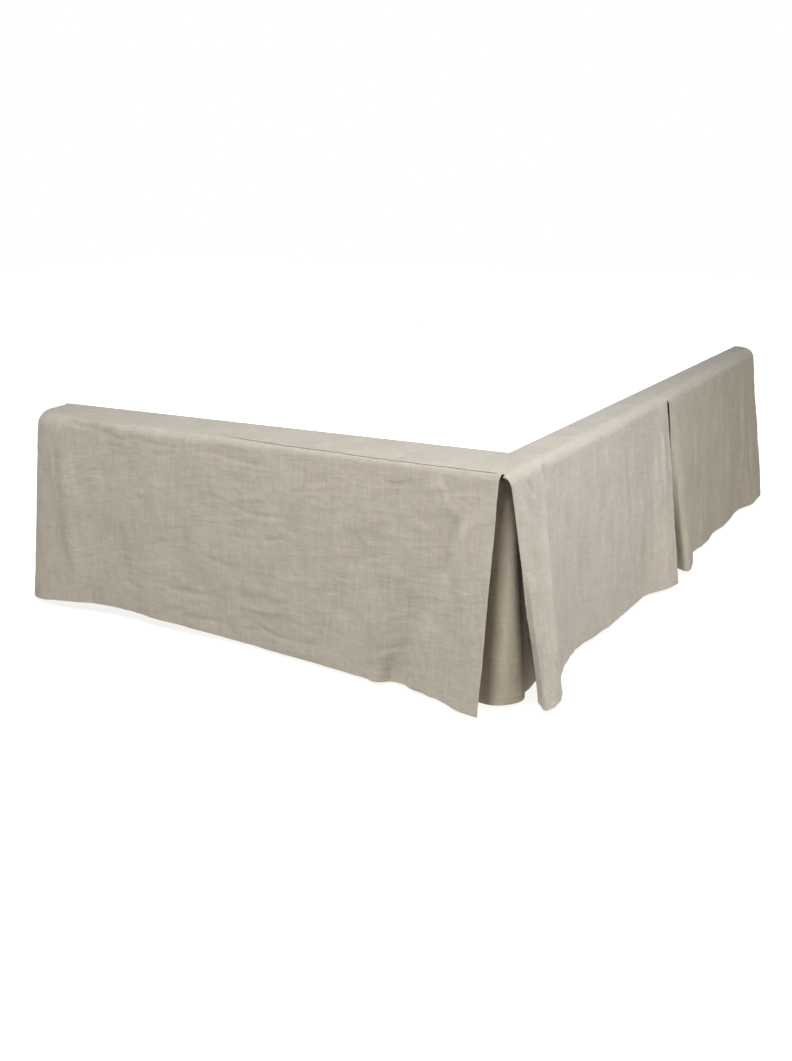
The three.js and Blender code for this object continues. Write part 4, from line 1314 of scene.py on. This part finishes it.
class BEDSKIRT_OT_deck(bpy.types.Operator):
    """Lay the cotton deck over the base"""

    bl_idname = "bed_skirt.deck"
    bl_label = "Lay Deck"

    def execute(self, context):
        u, v = np.meshgrid(np.linspace(0, 1, 100), np.linspace(0, 1, 140), indexing="ij")
        foot = DECK_FOOT_LEFT + (DECK_FOOT_RIGHT - DECK_FOOT_LEFT) * u
        y = foot + (DECK_HEAD - foot) * v
        turn = np.clip((y - DECK_TURN) / (DECK_HEAD - DECK_TURN), 0, 1)
        left = DECK_LEFT + (-DECK_HEAD_HALF_WIDTH - DECK_LEFT) * turn
        right = DECK_RIGHT + (DECK_HEAD_HALF_WIDTH - DECK_RIGHT) * turn
        x = left + (right - left) * u
        to_edge = np.minimum(np.minimum(x - left, right - x), np.minimum(y - foot, DECK_HEAD - y))
        lift = np.abs(crumple(107, x, y, DECK_SLANT, DECK_WRINKLES)) * smoothstep(to_edge / 60)
        outer = np.stack([x, y, TOP_HEIGHT + lift - DECK_SUNK], -1)[:, ::-1]
        inner = outer - np.array([0, 0, DECK_THICKNESS])
        piece = closed_sheet(
            "deck_cloth", outer, inner, x[:, ::-1], y[:, ::-1], 1, deck_cotton())
        finish_piece(piece, "deck_cotton", "deck")
        return {"FINISHED"}


class BEDSKIRT_OT_margins(bpy.types.Operator):
    """Sew the flat margins round the deck"""

    bl_idname = "bed_skirt.margins"
    bl_label = "Sew Margins"

    def execute(self, context):
        for name, deck, start, end, side, seed, width in (
            ("margin_foot", FOOT_DECK_EDGE, 0.3, WHITE_START, -1, 91, 0.16),
            ("margin_right", RIGHT_DECK_EDGE, -0.3, RIGHT_END, 1, 97, 0.085),
            ("margin_left", LEFT_DECK_EDGE, WHITE_START + 0.5, LEFT_END, -1, 101, 0.055),
        ):
            piece = sew_margin(name, Margin(*WAYS[side], deck), start, end, side, seed)
        return {"FINISHED"}


class BEDSKIRT_OT_drops(bpy.types.Operator):
    """Hang the five drops from their seams"""

    bl_idname = "bed_skirt.drops"
    bl_label = "Hang Drops"

    def execute(self, context):
        for name, hem, start, end, side, creases, seed, step in (
            ("panel_foot", FOOT_HEM, FOOT_FREE_EDGE, LEFT_SPLIT, -1, FOOT_CREASES, 11, 4.7),
            ("panel_right_foot", RIGHT_FOOT_HEM, 0, RIGHT_MIDDLE, 1, RIGHT_FOOT_CREASES, 23, 4.7),
            ("panel_right_head", RIGHT_HEAD_HEM, RIGHT_MIDDLE + SPLIT_GAP, RIGHT_END, 1,
             RIGHT_HEAD_CREASES, 37, 5.5),
            ("panel_left_foot", LEFT_FOOT_HEM, LEFT_SPLIT + SPLIT_GAP, LEFT_MIDDLE, -1,
             LEFT_FOOT_CREASES, 53, 7),
            ("panel_left_head", LEFT_HEAD_HEM, LEFT_MIDDLE + SPLIT_GAP, LEFT_END, -1,
             LEFT_HEAD_CREASES, 67, 7),
        ):
            lean = LEVEL if name == "panel_foot" else UPRIGHT
            surface = Drop(*WAYS[side], hem)
            piece, stitches = sew_drop(name, surface, start, end, side, creases, lean, seed, step)
        return {"FINISHED"}


class BEDSKIRT_OT_underlays(bpy.types.Operator):
    """Hang the underlays behind the splits"""

    bl_idname = "bed_skirt.underlays"
    bl_label = "Hang Underlays"

    def execute(self, context):
        turn = CORNER_UNDERLAY_WAY.radius * math.pi / 2
        corner = Underlay(CORNER_UNDERLAY_WAY, CORNER_RIGHT_HEM)
        far_corner = Underlay(CORNER_UNDERLAY_WAY, CORNER_LEFT_HEM)
        middle = Underlay(MIDDLE_UNDERLAY_WAY, MIDDLE_HEM)
        corner_end = UNDERLAY_BEFORE + turn + UNDERLAY_PAST
        for name, surface, end, side, creases, seed, step in (
            ("underlay_corner_right", corner, corner_end, 1, CORNER_RIGHT_CREASES, 71, 4.5),
            ("underlay_corner_left", far_corner, corner_end, -1, [], 73, 9),
            ("underlay_middle_right", middle, UNDERLAY_MIDDLE, 1, [], 79, 7),
            ("underlay_middle_left", middle, UNDERLAY_MIDDLE, -1, [], 83, 9),
        ):
            piece = sew_underlay(name, surface, end, side, creases, seed, step)
        return {"FINISHED"}


class BEDSKIRT_OT_stage(bpy.types.Operator):
    """Set the floor, the soft lights and the camera"""

    bl_idname = "bed_skirt.stage"
    bl_label = "Set Stage"

    def execute(self, context):
        deselect()
        bpy.ops.mesh.primitive_plane_add(size=2 * FLOOR_HALF, location=(0, 0, -FLOOR_DROP))
        floor = bpy.context.object
        floor.name = floor.data.name = "floor"
        material, n = new_material("pale_floor")
        n.surface({"Base Color": (FLOOR_TONE,) * 3, "Roughness": 0.9})
        floor.data.materials.append(material)
        studio_world(context.scene)
        lamps = {name: soft_light(name, *values) for name, values in LAMPS.items()}
        corner_underlay, middle_underlay = (
            bpy.data.objects[f"underlay_{name}_right_cloth"] for name in ("corner", "middle"))
        in_shade, head_drop = [floor, corner_underlay, middle_underlay], named("panel_right_head_")
        light_all_but([floor], lamps["front"], lamps["low"], lamps["above"])
        light_all_but(in_shade, lamps["far"])
        light_all_but(in_shade + head_drop, lamps["side"])
        light_only(head_drop, lamps["side_head"])
        light_all_but(named(*FACING), lamps["rear"], lamps["left"])
        light_only([corner_underlay], lamps["corner"])
        wash, glow = flat_light("floor_wash", FLOOR_WASH), flat_light("floor_glow", FLOOR_GLOW)
        light_only([floor, *named("deck_cloth", "margin_left_cloth")], wash, glow)
        open_air = bpy.data.collections.new("open_air")
        open_air.objects.link(floor)
        glow.light_linking.blocker_collection = open_air
        set_camera()
        context.scene.view_settings.view_transform = "Standard"
        return {"FINISHED"}


class BEDSKIRT_PT_panel(bpy.types.Panel):
    """The bed skirt's sizes, colours and steps"""

    bl_label = "Bed Skirt"
    bl_space_type = "VIEW_3D"
    bl_region_type = "UI"
    bl_category = "Bed Skirt"

    def draw(self, context):
        for name in BedSkirtSettings.__annotations__:
            self.layout.prop(context.scene.bed_skirt, name)
        for operator in OPERATORS:
            self.layout.operator(operator.bl_idname)


OPERATORS = (
    BEDSKIRT_OT_base, BEDSKIRT_OT_legs, BEDSKIRT_OT_deck, BEDSKIRT_OT_margins,
    BEDSKIRT_OT_drops, BEDSKIRT_OT_underlays, BEDSKIRT_OT_stage,
)
CLASSES = (BedSkirtSettings, *OPERATORS, BEDSKIRT_PT_panel)


def register():
    for cls in CLASSES:
        bpy.utils.register_class(cls)
    bpy.types.Scene.bed_skirt = PointerProperty(type=BedSkirtSettings)


def unregister():
    del bpy.types.Scene.bed_skirt
    for cls in reversed(CLASSES):
        bpy.utils.unregister_class(cls)


def main():
    register()
    for operator in OPERATORS:
        group, name = operator.bl_idname.split(".")
        getattr(getattr(bpy.ops, group), name)()
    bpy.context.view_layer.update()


if __name__ == "__main__":
    main()
